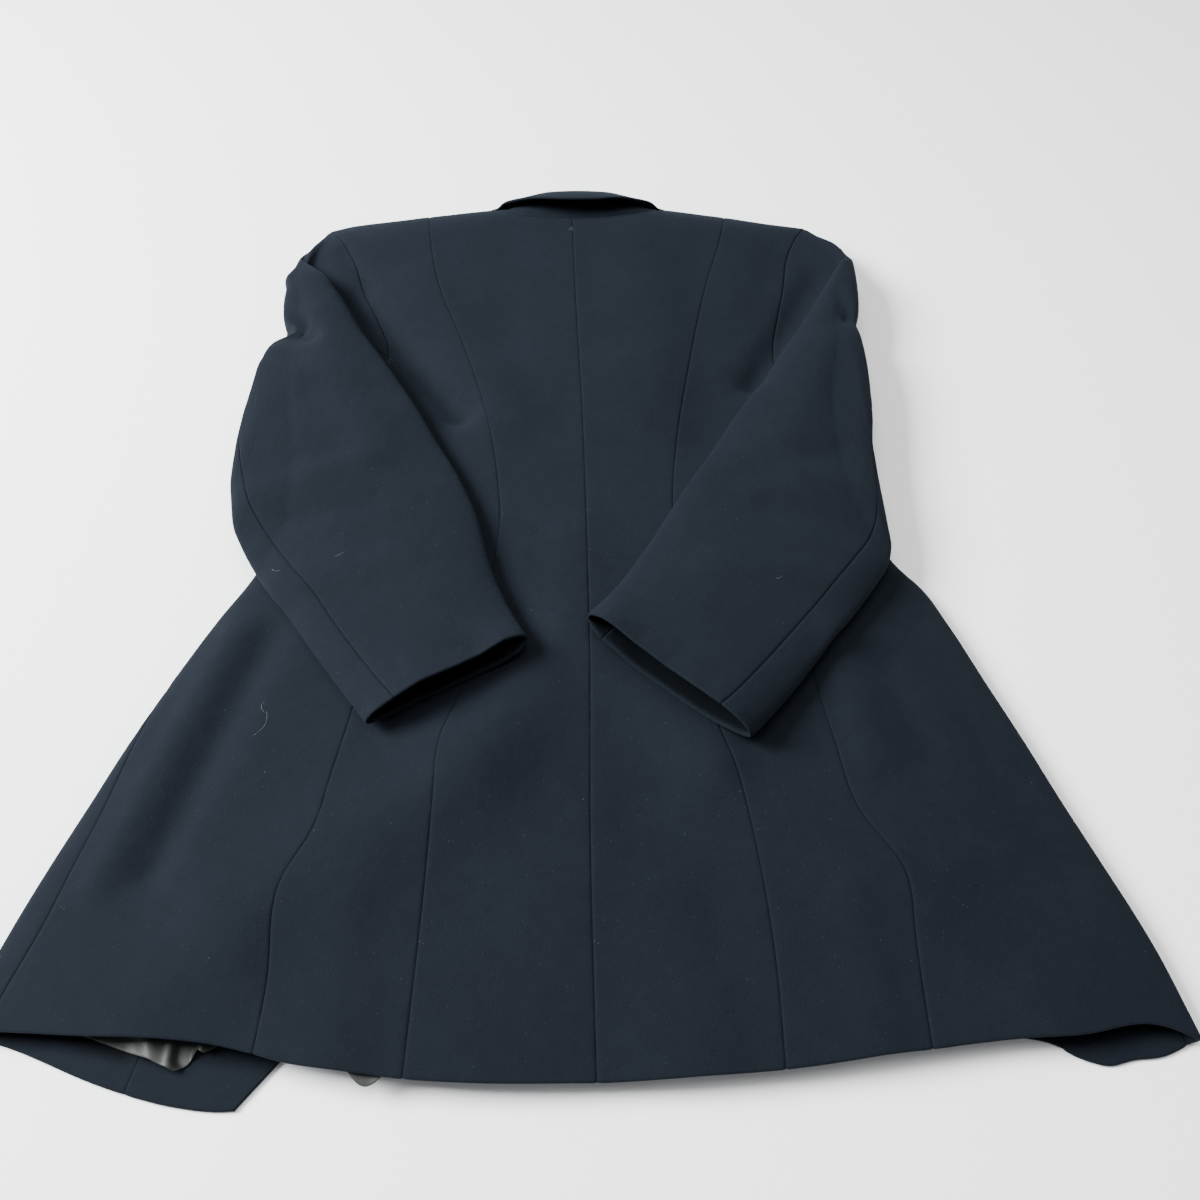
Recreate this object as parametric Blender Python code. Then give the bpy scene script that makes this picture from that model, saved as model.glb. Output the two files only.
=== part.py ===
"""A double-breasted blazer that lies face down on a flat surface.

The back is up, the collar is at +Y, the hem at -Y, and the sleeves are folded
across the back. Every cut-and-sewn piece is its own thin closed solid, 0.3 mm
from its neighbours. Tables are in millimetres; meshes are in metres. Left and
right are the wearer's, so left is -X.
"""
import math

import bpy
import numpy as np

MM = 0.001
WALL = 2.0
LINING_WALL = 1.0
SEAM_GAP = 0.3
ARMHOLE_GAP = 1.4
START_STEP = 0.05
LAYER = WALL + 0.9
OVERLAP_ROOM = 1.7
CLEAR = 1.2
# Rows of the torso's panels lie on levels: y from the hem to the shoulder.
HEM_LEVEL = -370.0
HEM_BLEND = -200.0
TOP_LEVEL = 372.0

# Side folds: height of the outermost line, and the powers that shape the dome.
FOLD_RISE = 7.0
SHOULDER_RISE = 14.0
SHOULDER_REACH = 45.0
FOLD_EDGE = 0.08
DOME_POWER = 0.30
SHOULDER_POWER = 0.35

# Height of the back along its middle: (y, z).
CREST = [(-378, 17), (-300, 23), (-200, 27), (-100, 29), (0, 29), (100, 30),
         (200, 33), (280, 37), (345, 41), (385, 41)]

# Seams and folds as (y, x) rows, from the hem up.
CENTRE_BACK = [(-376, 8.5), (-250, 4.8), (-103, 3.5), (-36, 1.8), (119, -3.6),
               (236, -9.6), (351, -14.5), (385, -16)]
SIDE_FOLD = {
    "left": [(-345, -341), (-300, -330), (-246, -314), (-207, -301), (-165, -287),
             (-120, -270), (-72, -250), (-28, -230), (0, -224), (60, -229),
             (115, -240), (200, -250), (300, -254), (345, -244)],
    "right": [(-347, 336), (-300, 325), (-246, 307), (-207, 293), (-165, 279),
              (-120, 263), (-72, 246), (-44, 234), (-24, 219), (0, 208), (60, 199),
              (118, 200), (200, 217), (300, 226), (345, 216)],
}
PRINCESS = {
    "left": [(-370, -93.5), (-307, -91.3), (-215, -89), (-174, -88), (-132, -75.7),
             (-32, -63.3), (8, -60.5), (42, -63.7), (103, -74.3), (181, -97),
             (255, -122.7), (339, -138), (380, -142)],
    "right": [(-370, 108), (-295, 107), (-247, 102), (-202, 94), (-169, 85),
              (-100, 72), (22, 62), (92, 68.3), (158, 78.7), (255, 97),
              (333, 116), (380, 122)],
}
SECOND_SEAM = {
    "left": [(-361, -174.7), (-323, -172), (-263, -171), (-235, -159), (-195, -153),
             (-151, -146), (-90, -138), (-20, -136), (60, -146), (133, -166)],
    "right": [(-352, 187), (-295, 187), (-257, 185), (-222, 165), (-171, 155),
              (-119, 146), (-40, 136), (40, 134), (100, 146), (130, 158)],
}
BACK_ARMHOLE = {
    "left": [(133, -166), (150, -160.5), (179, -158.5), (204, -163), (223, -171),
             (251, -184), (289, -197), (321, -212), (348, -228)],
    "right": [(130, 158), (150, 152), (175, 149), (199, 150), (232, 156.5),
              (262, 163), (299, 169), (324, 177.5), (352, 191)],
}
FRONT_ARMHOLE = {
    "left": [(160, -170), (200, -171), (250, -183), (300, -203), (348, -228)],
    "right": [(160, 152), (200, 151), (250, 158), (300, 170), (352, 191)],
}
# Third seam as ring places; past 1 it lies on the underside: (y, ring place).
THIRD_SEAM = {
    "left": [(-345, 0.80), (-325, 0.79), (-291, 0.775), (-252, 0.785), (-210, 0.81),
             (-172, 0.86), (-120, 0.96), (-70, 1.06), (-20, 1.12), (60, 1.12), (115, 1.08)],
    "right": [(-347, 1.12), (-200, 1.13), (0, 1.13), (118, 1.08)],
}
FRONT_SEAM = {
    "left": [(-372, -243), (-200, -205), (0, -165), (80, -160), (160, -170)],
    "right": [(-350, 262), (-200, 192), (0, 150), (80, 143), (160, 152)],
}
# Armhole below the seams, round the side fold: (ring place, y).
UNDERARM = {
    "left": [(0.47, 133), (0.58, 126), (0.70, 119), (0.85, 111), (1.0, 104),
             (1.15, 111), (1.3, 124), (1.4, 137), (1.48, 150), (1.52, 160)],
    "right": [(0.55, 130), (0.64, 125), (0.76, 118), (0.88, 111), (1.0, 105),
              (1.14, 112), (1.28, 124), (1.38, 137), (1.46, 149), (1.5, 160)],
}
# Hems and tops as (x, y) rows.
BACK_HEM = [(-338, -343), (-278, -347), (-175, -357), (-161, -361), (-121, -367),
            (-94, -370), (10, -371.5), (110, -365), (185, -355), (234, -349),
            (268, -347), (313, -341), (333, -347)]
FRONT_HEM = {
    "left": [(-338, -343), (-316, -348.5), (-256, -370), (-217, -380), (-185, -382.5),
             (-150, -372)],
    "right": [(60, -322), (150, -330), (240, -344), (258, -348), (270, -355),
              (285, -359), (299, -356), (316, -354), (333, -347)],
}
SHOULDER = [(-245, 332), (-227, 343), (-207, 348), (-165, 358), (-135, 363), (-87, 370),
            (-12, 374), (67, 370), (115, 363), (155, 356), (184, 350), (204, 343), (225, 326)]
NECKLINE = [(-82, 371), (-75, 353), (-58, 344), (-35, 340), (-10, 339), (16, 340),
            (39, 344), (56, 353), (63, 371)]
# Front edges and roll lines as (y, x) rows.
ROLL_TOP = 160
FRONT_JOIN = 160.0
FRONT_EDGE = {
    "left": [(-384, -185), (-357, -163), (-300, -112), (-200, -20), (-120, 50),
             (-60, 66), (20, 66), (90, 42), (160, 4), (200, -18), (262, -50),
             (340, -80), (372, -88)],
    "right": [(-334, 166), (-300, 130), (-200, 20), (-120, -46), (-60, -60),
              (20, -58), (90, -34), (160, 4), (200, 24), (262, 44), (340, 62),
              (372, 68)],
}
# Lapels on the underside: (y, reach out from the roll line).
LAPEL_OUTLINE = {
    "left": [(168, 4), (176, 42), (192, 78), (222, 98), (240, 72), (260, 48)],
    "right": [(26, 4), (60, 28), (120, 58), (180, 82), (222, 98), (240, 72), (260, 48)],
}
LAPEL_START = {"left": 168, "right": 26}
COLLAR_COVER = 52.0
# Closure: the buttons' places on the underside and how far the cloth lifts over them.
BUTTON_RADIUS = 11.0
BUTTON_THICK = 3.4
BUTTON_PLACES = [(-38, -10), (44, -10), (-38, -92), (44, -92)]
LIFT_SOFT = 42.0

# Soft folds of the back: start x, y, end x, y, half width, height (negative is a trough).
SOFT_FOLDS = [
    (-156, 186, -94, 116, 17, -3.0),
    (-134, 214, -84, 140, 17, 2.0),
    (150, 232, 118, 168, 17, -2.4),
    (-40, -120, -36, -360, 26, 1.6),
    (58, -150, 66, -360, 22, 1.4),
    (-130, -190, -134, -365, 20, 2.0),
    (148, -200, 160, -352, 20, 2.0),
    (-215, -190, -240, -350, 22, 2.0),
    (228, -190, 246, -350, 22, 2.2),
]


def along(rows, at):
    """Smooth curve through (key, value) rows, evaluated at the keys `at`."""
    keys = np.array([row[0] for row in rows], dtype=float)
    values = np.array([row[1] for row in rows], dtype=float)
    slopes = np.gradient(values, keys)
    at = np.clip(np.asarray(at, dtype=float), keys[0], keys[-1])
    low = np.clip(np.searchsorted(keys, at, side="right") - 1, 0, len(keys) - 2)
    span = keys[low + 1] - keys[low]
    t = (at - keys[low]) / span
    rise = values[low + 1] - values[low]
    start = slopes[low] * span
    finish = slopes[low + 1] * span
    return values[low] + t * (start + t * (3 * rise - 2 * start - finish
                                           + t * (start + finish - 2 * rise)))


def straight(rows, at):
    """Straight runs between (key, value) rows, evaluated at the keys `at`."""
    return np.interp(at, [row[0] for row in rows], [row[1] for row in rows])


def ease(value):
    """0 below 0, 1 above 1, smooth between."""
    value = np.clip(value, 0.0, 1.0)
    return value * value * (3.0 - 2.0 * value)


def fold_x(side, y):
    return along(SIDE_FOLD[side], y)


def ring_of(side, x, y):
    """Ring place of a point on the back: 0 at centre back, 1 at the side fold."""
    middle = along(CENTRE_BACK, y)
    share = np.clip((x - middle) / (fold_x(side, y) - middle), 0.0, 1.0)
    return np.arcsin(share) * 2.0 / math.pi


def ring_x(side, ring, y):
    middle = along(CENTRE_BACK, y)
    return middle + (fold_x(side, y) - middle) * np.sin(ring * math.pi / 2.0)


def soft_folds(x, y):
    """Height that the soft folds add to the back."""
    total = np.zeros(np.broadcast(x, y).shape)
    for x0, y0, x1, y1, width, height in SOFT_FOLDS:
        run = np.array([x1 - x0, y1 - y0], dtype=float)
        length = np.hypot(*run)
        run = run / length
        place = ((x - x0) * run[0] + (y - y0) * run[1]) / length
        off = (x - x0) * run[1] - (y - y0) * run[0]
        beyond = (np.clip(-place, 0, None) + np.clip(place - 1, 0, None)) * length
        total = total + height * np.exp(-(off ** 2 + beyond ** 2) / width ** 2)
    return total


def shoulder_share(x, y):
    """0 on the shoulder's fold, 1 from SHOULDER_REACH below it."""
    depth = np.clip((straight(SHOULDER, x) - y - FOLD_EDGE) / SHOULDER_REACH, 0.0, 1.0)
    return (1.0 - (1.0 - depth) ** 2) ** SHOULDER_POWER


def back_height(side, x, y):
    """Height of the back's outer face."""
    middle = along(CENTRE_BACK, y)
    share = np.clip((x - middle) / (fold_x(side, y) - middle), -1.0, 1.0)
    dome = (1.0 - share ** 2) ** DOME_POWER
    rise = FOLD_RISE + (along(CREST, y) - FOLD_RISE) * dome + soft_folds(x, y) * dome
    near = shoulder_share(x, y)
    return (SHOULDER_RISE + SEAM_GAP / 2) * (1.0 - near) + rise * near


def patch_lift(x, y, x0, x1, y0, y1):
    """1 inside a rectangle, easing to 0 over LIFT_SOFT outside it."""
    off_x = np.clip(np.maximum(x0 - x, x - x1), 0, None)
    off_y = np.clip(np.maximum(y0 - y, y - y1), 0, None)
    return ease(1.0 - np.hypot(off_x, off_y) / LIFT_SOFT)


def front_lift(side, x, y):
    """How far a front's outer face stands off the surface over what is folded under it."""
    x0 = BUTTON_PLACES[0][0] - BUTTON_RADIUS - 3
    x1 = BUTTON_PLACES[1][0] + BUTTON_RADIUS + 3
    y0 = BUTTON_PLACES[2][1] - BUTTON_RADIUS - 3
    y1 = BUTTON_PLACES[0][1] + BUTTON_RADIUS + 3
    buttons = patch_lift(x, y, x0, x1, y0, y1) * (BUTTON_THICK + 0.7)
    sign = -1.0 if side == "left" else 1.0
    out = (x - along(FRONT_EDGE[side], y)) * sign
    reach = np.where(y > 258, COLLAR_COVER, straight(LAPEL_OUTLINE["right"], y)) + 5.0
    folded = ease((reach + LIFT_SOFT - out) / LIFT_SOFT)
    folded *= ease((y - LAPEL_START[side] + LIFT_SOFT) / LIFT_SOFT)
    return np.maximum(buttons, folded * LAYER)


def front_height(side, x, y):
    """Height of a front's outer face: flat, rounded up to the side fold and shoulder."""
    lift = front_lift("right", x, y)
    if side == "left":
        over = ease((x - along(FRONT_EDGE["right"], y) + 6.0 + LIFT_SOFT) / LIFT_SOFT)
        over = over * ease((ROLL_TOP + 10 + LIFT_SOFT - y) / LIFT_SOFT)
        own = front_lift("left", x, y) * ease((y - LAPEL_START["left"] + 2 * LIFT_SOFT) / LIFT_SOFT)
        lift = np.maximum(over * (lift + LAYER + OVERLAP_ROOM), np.minimum(own, LAYER))
    inside = np.clip(np.abs(fold_x(side, y) - x), 0.0, FOLD_RISE)
    side_rise = FOLD_RISE - np.sqrt(2 * FOLD_RISE * inside - inside ** 2)
    below = np.clip(straight(SHOULDER, x) - y, 0.0, SHOULDER_RISE)
    top_rise = SHOULDER_RISE - np.sqrt(2 * SHOULDER_RISE * below - below ** 2)
    top_rise = np.minimum(top_rise, SHOULDER_RISE - SEAM_GAP / 2)
    return np.maximum(np.maximum(side_rise, top_rise), lift)


def torso_point(side, ring, y):
    """Point of the outer face at a ring place (over 1 is the underside) and y."""
    x = ring_x(side, ring, y)
    z = np.where(ring <= 1.0, back_height(side, x, y), front_height(side, x, y))
    return np.stack([x, y, z], axis=-1)


def solid_from(name, surface, u_values, v_values, wall, material, steps=(1e-3, 1e-3), upright=False):
    """A closed wall: `surface(u, v)` is its outer face and `wall` its thickness.

    Where `upright`, the last row stands on end, as the cloth does on the shoulder's fold."""
    u, v = np.meshgrid(u_values, v_values, indexing="ij")
    outer = surface(u, v)
    along_u = surface(u + steps[0], v) - surface(u - steps[0], v)
    along_v = surface(u, v + steps[1]) - surface(u, v - steps[1])
    normal = np.cross(along_u, along_v)
    if upright:
        normal[:, -1, 2] *= outer[:, -1, 2] > SHOULDER_RISE + 1.0
    normal /= np.linalg.norm(normal, axis=-1, keepdims=True)
    return wall_mesh(name, outer, outer - normal * wall, material)


def wall_mesh(name, outer, inner, material):
    """Mesh object from an outer and an inner grid of points, in millimetres."""
    rows, columns = outer.shape[:2]
    count = rows * columns
    points = np.concatenate([outer.reshape(-1, 3), inner.reshape(-1, 3)]) * MM

    def at(i, j):
        return i * columns + j

    faces = []
    for i in range(rows - 1):
        for j in range(columns - 1):
            # Both faces of the wall are split along the shorter diagonal of the outer one.
            ring = [at(i, j), at(i + 1, j), at(i + 1, j + 1), at(i, j + 1)]
            first_diagonal = np.linalg.norm(points[ring[0]] - points[ring[2]])
            second_diagonal = np.linalg.norm(points[ring[1]] - points[ring[3]])
            if first_diagonal > second_diagonal:
                ring = ring[1:] + ring[:1]
            for half in (ring[:3], [ring[0], ring[2], ring[3]]):
                faces.append(tuple(half))
                faces.append(tuple(count + k for k in reversed(half)))
    rim = [at(i, 0) for i in range(rows)] + [at(rows - 1, j) for j in range(1, columns)]
    rim += [at(i, columns - 1) for i in range(rows - 2, -1, -1)]
    rim += [at(0, j) for j in range(columns - 2, 0, -1)]
    # Edges of the wall are split alike on both sides of a seam, so they keep clear.
    for here, there in zip(rim, rim[1:] + rim[:1]):
        if here < there:
            faces.append((there, here, count + there))
            faces.append((here, count + here, count + there))
        else:
            faces.append((there, here, count + here))
            faces.append((there, count + here, count + there))
    mesh = bpy.data.meshes.new(name)
    mesh.from_pydata([tuple(p) for p in points], [], faces)
    mesh.validate()
    mesh.update()
    mesh.materials.append(material)
    mesh.shade_smooth()
    mesh.set_sharp_from_angle(angle=math.radians(50))
    piece = bpy.data.objects.new(name, mesh)
    bpy.context.scene.collection.objects.link(piece)
    return piece


def level_y(level, bottom, top, join_y, join, stops_at_join):
    """y of a row level, blended to the hem below and to the panel's top above.

    `join` is the level of the armhole's foot, and `join_y` is the row's y there."""
    near_hem = np.clip((HEM_BLEND - level) / (HEM_BLEND - HEM_LEVEL), 0.0, 1.0)
    near_join = np.clip(level / join, 0.0, 1.0)
    low_y = level + (bottom - HEM_LEVEL) * near_hem + (join_y - join) * near_join
    if stops_at_join:
        return low_y
    share = (level - join) / (TOP_LEVEL - join)
    return np.where(level <= join, low_y, join_y + (top - join_y) * share)


def torso_panel(name, side, edges, tops, columns, levels, material):
    """A panel between two edges (ring places by y), over row levels from hem to top.

    `tops` gives the y that the panel has at the armhole's foot and at its top; where the
    top is None the panel ends at the armhole's foot."""
    first, second = edges
    join_top, top = tops
    join = BACK_ARMHOLE[side][0][0]
    low = hem_of(side)
    inset = SEAM_GAP / 2

    def inset_ring(ring, y, towards):
        step = 0.004 * towards
        run = torso_point(side, ring + step, y) - torso_point(side, ring, y)
        return ring + step * inset / np.maximum(np.linalg.norm(run, axis=-1), 0.02)

    def surface(u, v):
        share = 1.0 - u if side == "left" else u
        y = v
        for _ in range(7):
            ring = first(y) + (second(y) - first(y)) * share
            over = low(ring, y)
            y = level_y(v, over, None if top is None else top(ring, y), join_top(ring, y),
                        join, top is None)
        start = inset_ring(first(y), y, 1.0)
        finish = inset_ring(second(y), y, -1.0)
        return torso_point(side, start + (finish - start) * share, y)

    return solid_from(name, surface, columns, levels, WALL, material, steps=(1e-3, 0.3),
                      upright=top is not None)


def seam_ring(rows_by_side, side, under=False):
    """Ring place of a seam given as (y, x) rows."""
    def place(y):
        ring = ring_of(side, along(rows_by_side[side], y), y)
        return 2.0 - ring if under else ring
    return place


def third_seam(side):
    def place(y):
        return along(THIRD_SEAM[side], y)
    return place


def hem_of(side):
    def place(ring, y):
        x = ring_x(side, ring, y)
        return np.where(ring <= 1.0, straight(BACK_HEM, x), straight(FRONT_HEM[side], x))
    return place


def shoulder_top(side):
    def place(ring, y):
        return straight(SHOULDER, ring_x(side, ring, y))
    return place


def back_top(side):
    def place(ring, y):
        x = ring_x(side, ring, y)
        inside = (x > NECKLINE[0][0]) & (x < NECKLINE[-1][0])
        return np.where(inside, straight(NECKLINE, x), straight(SHOULDER, x))
    return place


def underarm(side):
    def place(ring, y):
        return along(UNDERARM[side], ring)
    return place


def upper_edge(side, seam, armhole, join, under=False):
    """An edge that follows a seam up to `join` and an armhole above it."""
    seam_place = seam_ring(seam, side, under)
    arm_place = seam_ring(armhole, side, under)

    def place(y):
        return np.where(y < join, seam_place(y), arm_place(y))
    return place


# Sleeve stations from the armhole through the turn at the side. Each row: the shoulder
# edge x, y, z; the underarm edge x, y, z; the outward bulge x, z of the forearm half and
# of the hindarm half.
SLEEVE_TURN = {
    "left": [
        (-236, 330, 18, -254, 106, 13, -3, -14, 9, 0),
        (-244, 309, 25, -259, 103, 21, -8, -3, 6, -3),
        (-242, 297, 34, -260, 94, 29, -5, 12, 10, -6),
        (-232, 279, 38, -259, 67, 29, 0, 11, 8, -7),
    ],
    "right": [
        (212, 331, 18, 213, 107, 13, 3, -14, -9, 0),
        (220, 312, 25, 216, 104, 21, 8, -3, -5, -3),
        (217, 298, 34, 217, 95, 29, 5, 12, -8, -6),
        (207, 277, 37, 217, 68, 29, -1, 12, -7, -7),
    ],
}
TURN_POWER = 0.6
# Stations of the folded sleeve: inner edge x, y; outer edge x, y; thickness; edge height.
SLEEVE_FOLDED = {
    "left": [
        (-207, 249, -256, 40, 19, 8), (-179, 194, -252, 19, 20, 8),
        (-156, 157, -247, -2, 20, 8), (-129, 111, -240, -17, 20, 8),
        (-109, 72, -229, -36, 19, 8), (-92, 40, -213, -60, 18, 8),
        (-76, 2, -197, -80, 18, 8), (-64, -42, -178, -107, 20, 8),
        (-51, -77, -156, -137, 23, 9), (-36.5, -107, -134, -166, 28, 10),
    ],
    "right": [
        (189, 243, 215, 42, 20, 9), (172, 211, 214.5, 18, 20, 8),
        (150, 173, 214, -2, 20, 8), (128, 131, 213, -19, 20, 8),
        (105, 92, 207, -36, 19, 8), (87, 57, 195, -56, 18, 8),
        (67, 20, 178, -81, 18, 8), (47, -19, 154, -113, 20, 8),
        (25, -58, 129, -146, 23, 9), (2, -94, 102, -179, 28, 10),
    ],
}
# Forearm and hindarm seams: (station share, place round the sleeve).
FOREARM_SEAM = [(0, 0.42), (0.4, 0.40), (1, 0.36)]
HINDARM_SEAM = [(0, 0.712), (0.3, 0.80), (1, 0.90)]
ARM_JOIN = 0.35
ARM_TIP = {"left": 343.8, "right": 348.0}
FACE_POWER = 0.42
# Columns of a top sleeve, as shares between its seams, closer at the shoulder.
TOP_SLEEVE_COLUMNS = (0.0, 0.07, 0.14, 0.2, 0.255, 0.31, 0.36, 0.407, 0.455, 0.505,
                      0.56, 0.62, 0.68, 0.745, 0.81, 0.875, 0.94, 1.0)
REST_SHARE = 0.93
# Dent in the sleeve's outer edge: y, half length, depth.
PINCH = {"left": (206, 30, 9), "right": (203, 32, 5)}
# Soft folds of the sleeves' upper faces, as in SOFT_FOLDS.
SLEEVE_FOLDS = {
    "left": [(-262, 196, -222, 190, 17, -3.5), (-215, 205, -150, 60, 16, 1.8),
             (-232, -6, -150, 10, 12, -1.8), (-240, 20, -160, 50, 12, 1.2)],
    "right": [(224, 208, 190, 198, 17, -3.0), (192, 190, 150, 80, 15, 1.8),
              (206, -20, 130, 6, 12, -1.8), (208, 16, 150, 40, 12, 1.2)],
}
# Collar fall, left gorge to centre back: roll line x, y, z; outer edge x, y, z; arch.
COLLAR_FALL = [
    (-50, 264, 0, -98, 270, 0, 0), (-62, 310, 0, -106, 312, 0, 0),
    (-69, 352, 0, -104, 346, 0, 0), (-70, 367.5, 0.4, -99, 366, 0.4, 0),
    (-70, 375, 5, -95, 373.5, 5.5, 0), (-69, 376, 14, -93, 374.5, 15, 0),
    (-68, 374, 24, -90, 372.5, 26, 0.3), (-65, 368, 33.5, -88, 365, 37, 0.8),
    (-59, 365, 38, -82, 353, 47, 1.6), (-46, 369.5, 39, -65, 339.5, 56.5, 2.6),
    (-27, 376, 39, -38, 334, 60, 3.2), (-9.5, 378.5, 39.2, -9.5, 333.5, 61.3, 3.5),
]
COLLAR_MIDDLE = -9.5
# Collar stand on the back: x, then y and z at the neck seam, crest and roll line.
COLLAR_STAND = [
    (-65, 349.5, 36.2, 353.5, 35.6, 361, 33.2), (-56, 345.6, 38.8, 350.5, 39, 358.5, 35),
    (-38, 341.6, 40.4, 349.5, 41.6, 366.5, 36.2), (-9.5, 339.8, 41, 349, 43, 374.6, 36.9),
    (19, 341.6, 40.4, 349.5, 41.6, 366.5, 36.2), (37, 345.6, 38.8, 350.5, 39, 358.5, 35),
    (46, 349.5, 36.2, 353.5, 35.6, 361, 33.2),
]
LINING_FRONT = (-316, -204)
LINING_RISE = 15.0
LINING_DEPTH = 62.0
LINING_BACK = (-124, -104)
LINING_DROOP = 7.0


def rest_height(x, y):
    """Height that a folded sleeve rests on: the back, carried on level past its edge."""
    middle = along(CENTRE_BACK, y)
    left = np.clip((x - middle) / (fold_x("left", y) - middle), 0, REST_SHARE)
    right = np.clip((x - middle) / (fold_x("right", y) - middle), 0, REST_SHARE)
    dome = (1.0 - np.maximum(left, right) ** 2) ** DOME_POWER
    rise = FOLD_RISE + (along(CREST, y) - FOLD_RISE) * dome + soft_folds(x, y) * dome
    near = shoulder_share(x, np.minimum(y, 300))
    return SHOULDER_RISE * (1.0 - near) + rise * near


def armhole_loop(side, place):
    """The armhole round one side, forearm half 0 to 0.5 from the shoulder to the underarm."""
    place = np.mod(place, 1.0)
    front = place < 0.5
    fold = np.where(front, place, 1.0 - place)
    share = np.clip((1 - np.cos(2 * math.pi * fold)) / (1 - math.cos(2 * math.pi * ARM_JOIN)), 0, 1)
    below = np.clip((fold - ARM_JOIN) / (0.5 - ARM_JOIN), 0, 1)
    back_join = BACK_ARMHOLE[side][0][0]
    tip = ARM_TIP[side]
    y_above = tip - (tip - np.where(front, FRONT_JOIN, back_join)) * share
    ring_front = 2.0 - ring_of(side, along(FRONT_ARMHOLE[side], y_above), y_above)
    ring_back = ring_of(side, along(BACK_ARMHOLE[side], y_above), y_above)
    first = UNDERARM[side][-1][0]
    last = UNDERARM[side][0][0]
    ring_below = np.where(front, first + (1 - first) * below, last + (1 - last) * below)
    above = fold < ARM_JOIN
    ring = np.where(above, np.where(front, ring_front, ring_back), ring_below)
    y = np.where(above, y_above, along(UNDERARM[side], ring_below))
    x = ring_x(side, ring, y)
    z = np.where(front, front_height(side, x, y), back_height(side, x, y))
    return np.stack([x, y, z], axis=-1)


def turn_loop(row, place):
    """A loop of the turn: edge to edge, bulging by the row's offsets."""
    share = ((1 - np.cos(2 * math.pi * place)) / 2)[..., None]
    bulge = np.abs(np.sin(2 * math.pi * place))[..., None] ** TURN_POWER
    top = np.array(row[0:3], dtype=float)
    low = np.array(row[3:6], dtype=float)
    front = np.array([row[6], 0.0, row[7]])
    back = np.array([row[8], 0.0, row[9]])
    half = np.where((np.mod(place, 1.0) < 0.5)[..., None], front, back)
    return top + (low - top) * share + half * bulge


def folded_loop(row, place):
    """A loop of the folded sleeve, its z measured from what it rests on."""
    inner_x, inner_y, outer_x, outer_y, thick, edge = row
    share = (1 - np.cos(2 * math.pi * place)) / 2
    bulge = np.abs(np.sin(2 * math.pi * place)) ** (2 * FACE_POWER)
    upper = np.mod(place, 1.0) < 0.5
    z = CLEAR + edge + np.where(upper, thick - edge, -edge) * bulge
    return np.stack([inner_x + (outer_x - inner_x) * share,
                     inner_y + (outer_y - inner_y) * share, z], axis=-1)


def sleeve_stations(side, place):
    """Every station's loop at the places given, each z measured from the rest height."""
    turned = [armhole_loop(side, place)]
    turned += [turn_loop(row, place) for row in SLEEVE_TURN[side]]
    for loop in turned:
        loop[..., 2] -= rest_height(loop[..., 0], loop[..., 1])
    return np.stack(turned + [folded_loop(row, place) for row in SLEEVE_FOLDED[side]])


def sleeve_point(side, place, station):
    """Point of a sleeve's outer face at a place round it and a station along it."""
    loops = sleeve_stations(side, place)
    last = len(loops) - 1
    station = np.clip(station, 0, last)
    low = np.clip(np.floor(station).astype(int), 0, last - 1)
    t = station - low
    index = np.indices(place.shape)

    def loop_at(k):
        return loops[(np.clip(k, 0, last),) + tuple(index)]

    before, start, finish, after = (loop_at(low + k) for k in (-1, 0, 1, 2))
    slope_start = (finish - before) / 2
    slope_finish = (after - start) / 2
    t3 = t[..., None]
    rise = finish - start
    point = start + t3 * (slope_start + t3 * (3 * rise - 2 * slope_start - slope_finish
                                              + t3 * (slope_start + slope_finish - 2 * rise)))
    turned = len(SLEEVE_TURN[side])
    x, y, z = point[..., 0], point[..., 1], point[..., 2]
    z = z + rest_height(x, y)
    upper = ease((station - turned + 1.5) / 1.5) * np.clip(np.sin(2 * math.pi * place), 0, 1) ** 0.6
    for x0, y0, x1, y1, width, height in SLEEVE_FOLDS[side]:
        run = np.array([x1 - x0, y1 - y0], dtype=float)
        length = np.hypot(*run)
        run = run / length
        share = ((x - x0) * run[0] + (y - y0) * run[1]) / length
        off = (x - x0) * run[1] - (y - y0) * run[0]
        beyond = (np.clip(-share, 0, None) + np.clip(share - 1, 0, None)) * length
        z = z + upper * height * np.exp(-(off ** 2 + beyond ** 2) / width ** 2)
    pinch_y, pinch_length, pinch_depth = PINCH[side]
    inward = 1.0 if side == "left" else -1.0
    near = ease((np.abs(x) - np.abs(fold_x(side, 200)) + 26) / 26) * ease((z - 6) / 12)
    x = x + inward * pinch_depth * near * np.exp(-((y - pinch_y) / pinch_length) ** 2)
    return np.stack([x, y, np.maximum(z, 0.0)], axis=-1)


def sleeve_piece(name, side, first, second, shift, columns, material):
    """A sleeve piece between two seams, from the armhole to the cuff."""
    last = len(SLEEVE_TURN[side]) + len(SLEEVE_FOLDED[side])
    stations = np.concatenate([[0.0, 0.25, 0.5, 0.75], np.arange(1, 5, 0.5), np.arange(5, last + 1, 1.0)])
    place_gap = 0.0012

    def surface(u, v):
        start = along(first, v / last) + place_gap
        finish = along(second, v / last) + shift - place_gap
        share = u if side == "left" else 1 - u
        place = start + (finish - start) * share
        edge = np.zeros(place.shape)
        away = sleeve_point(side, place, edge + START_STEP) - sleeve_point(side, place, edge)
        along_edge = sleeve_point(side, place + 0.002, edge) - sleeve_point(side, place - 0.002, edge)
        along_edge /= np.linalg.norm(along_edge, axis=-1, keepdims=True)
        clear = np.linalg.norm(np.cross(away, along_edge), axis=-1)
        off = START_STEP * ARMHOLE_GAP / np.maximum(clear, 0.25)
        return sleeve_point(side, place, v + off * np.clip(1 - v, 0, 1))

    shares = np.array(columns, dtype=float)
    if side == "right":
        shares = (1 - shares)[::-1]
    return solid_from(name, surface, shares, stations, WALL, material)


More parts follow.
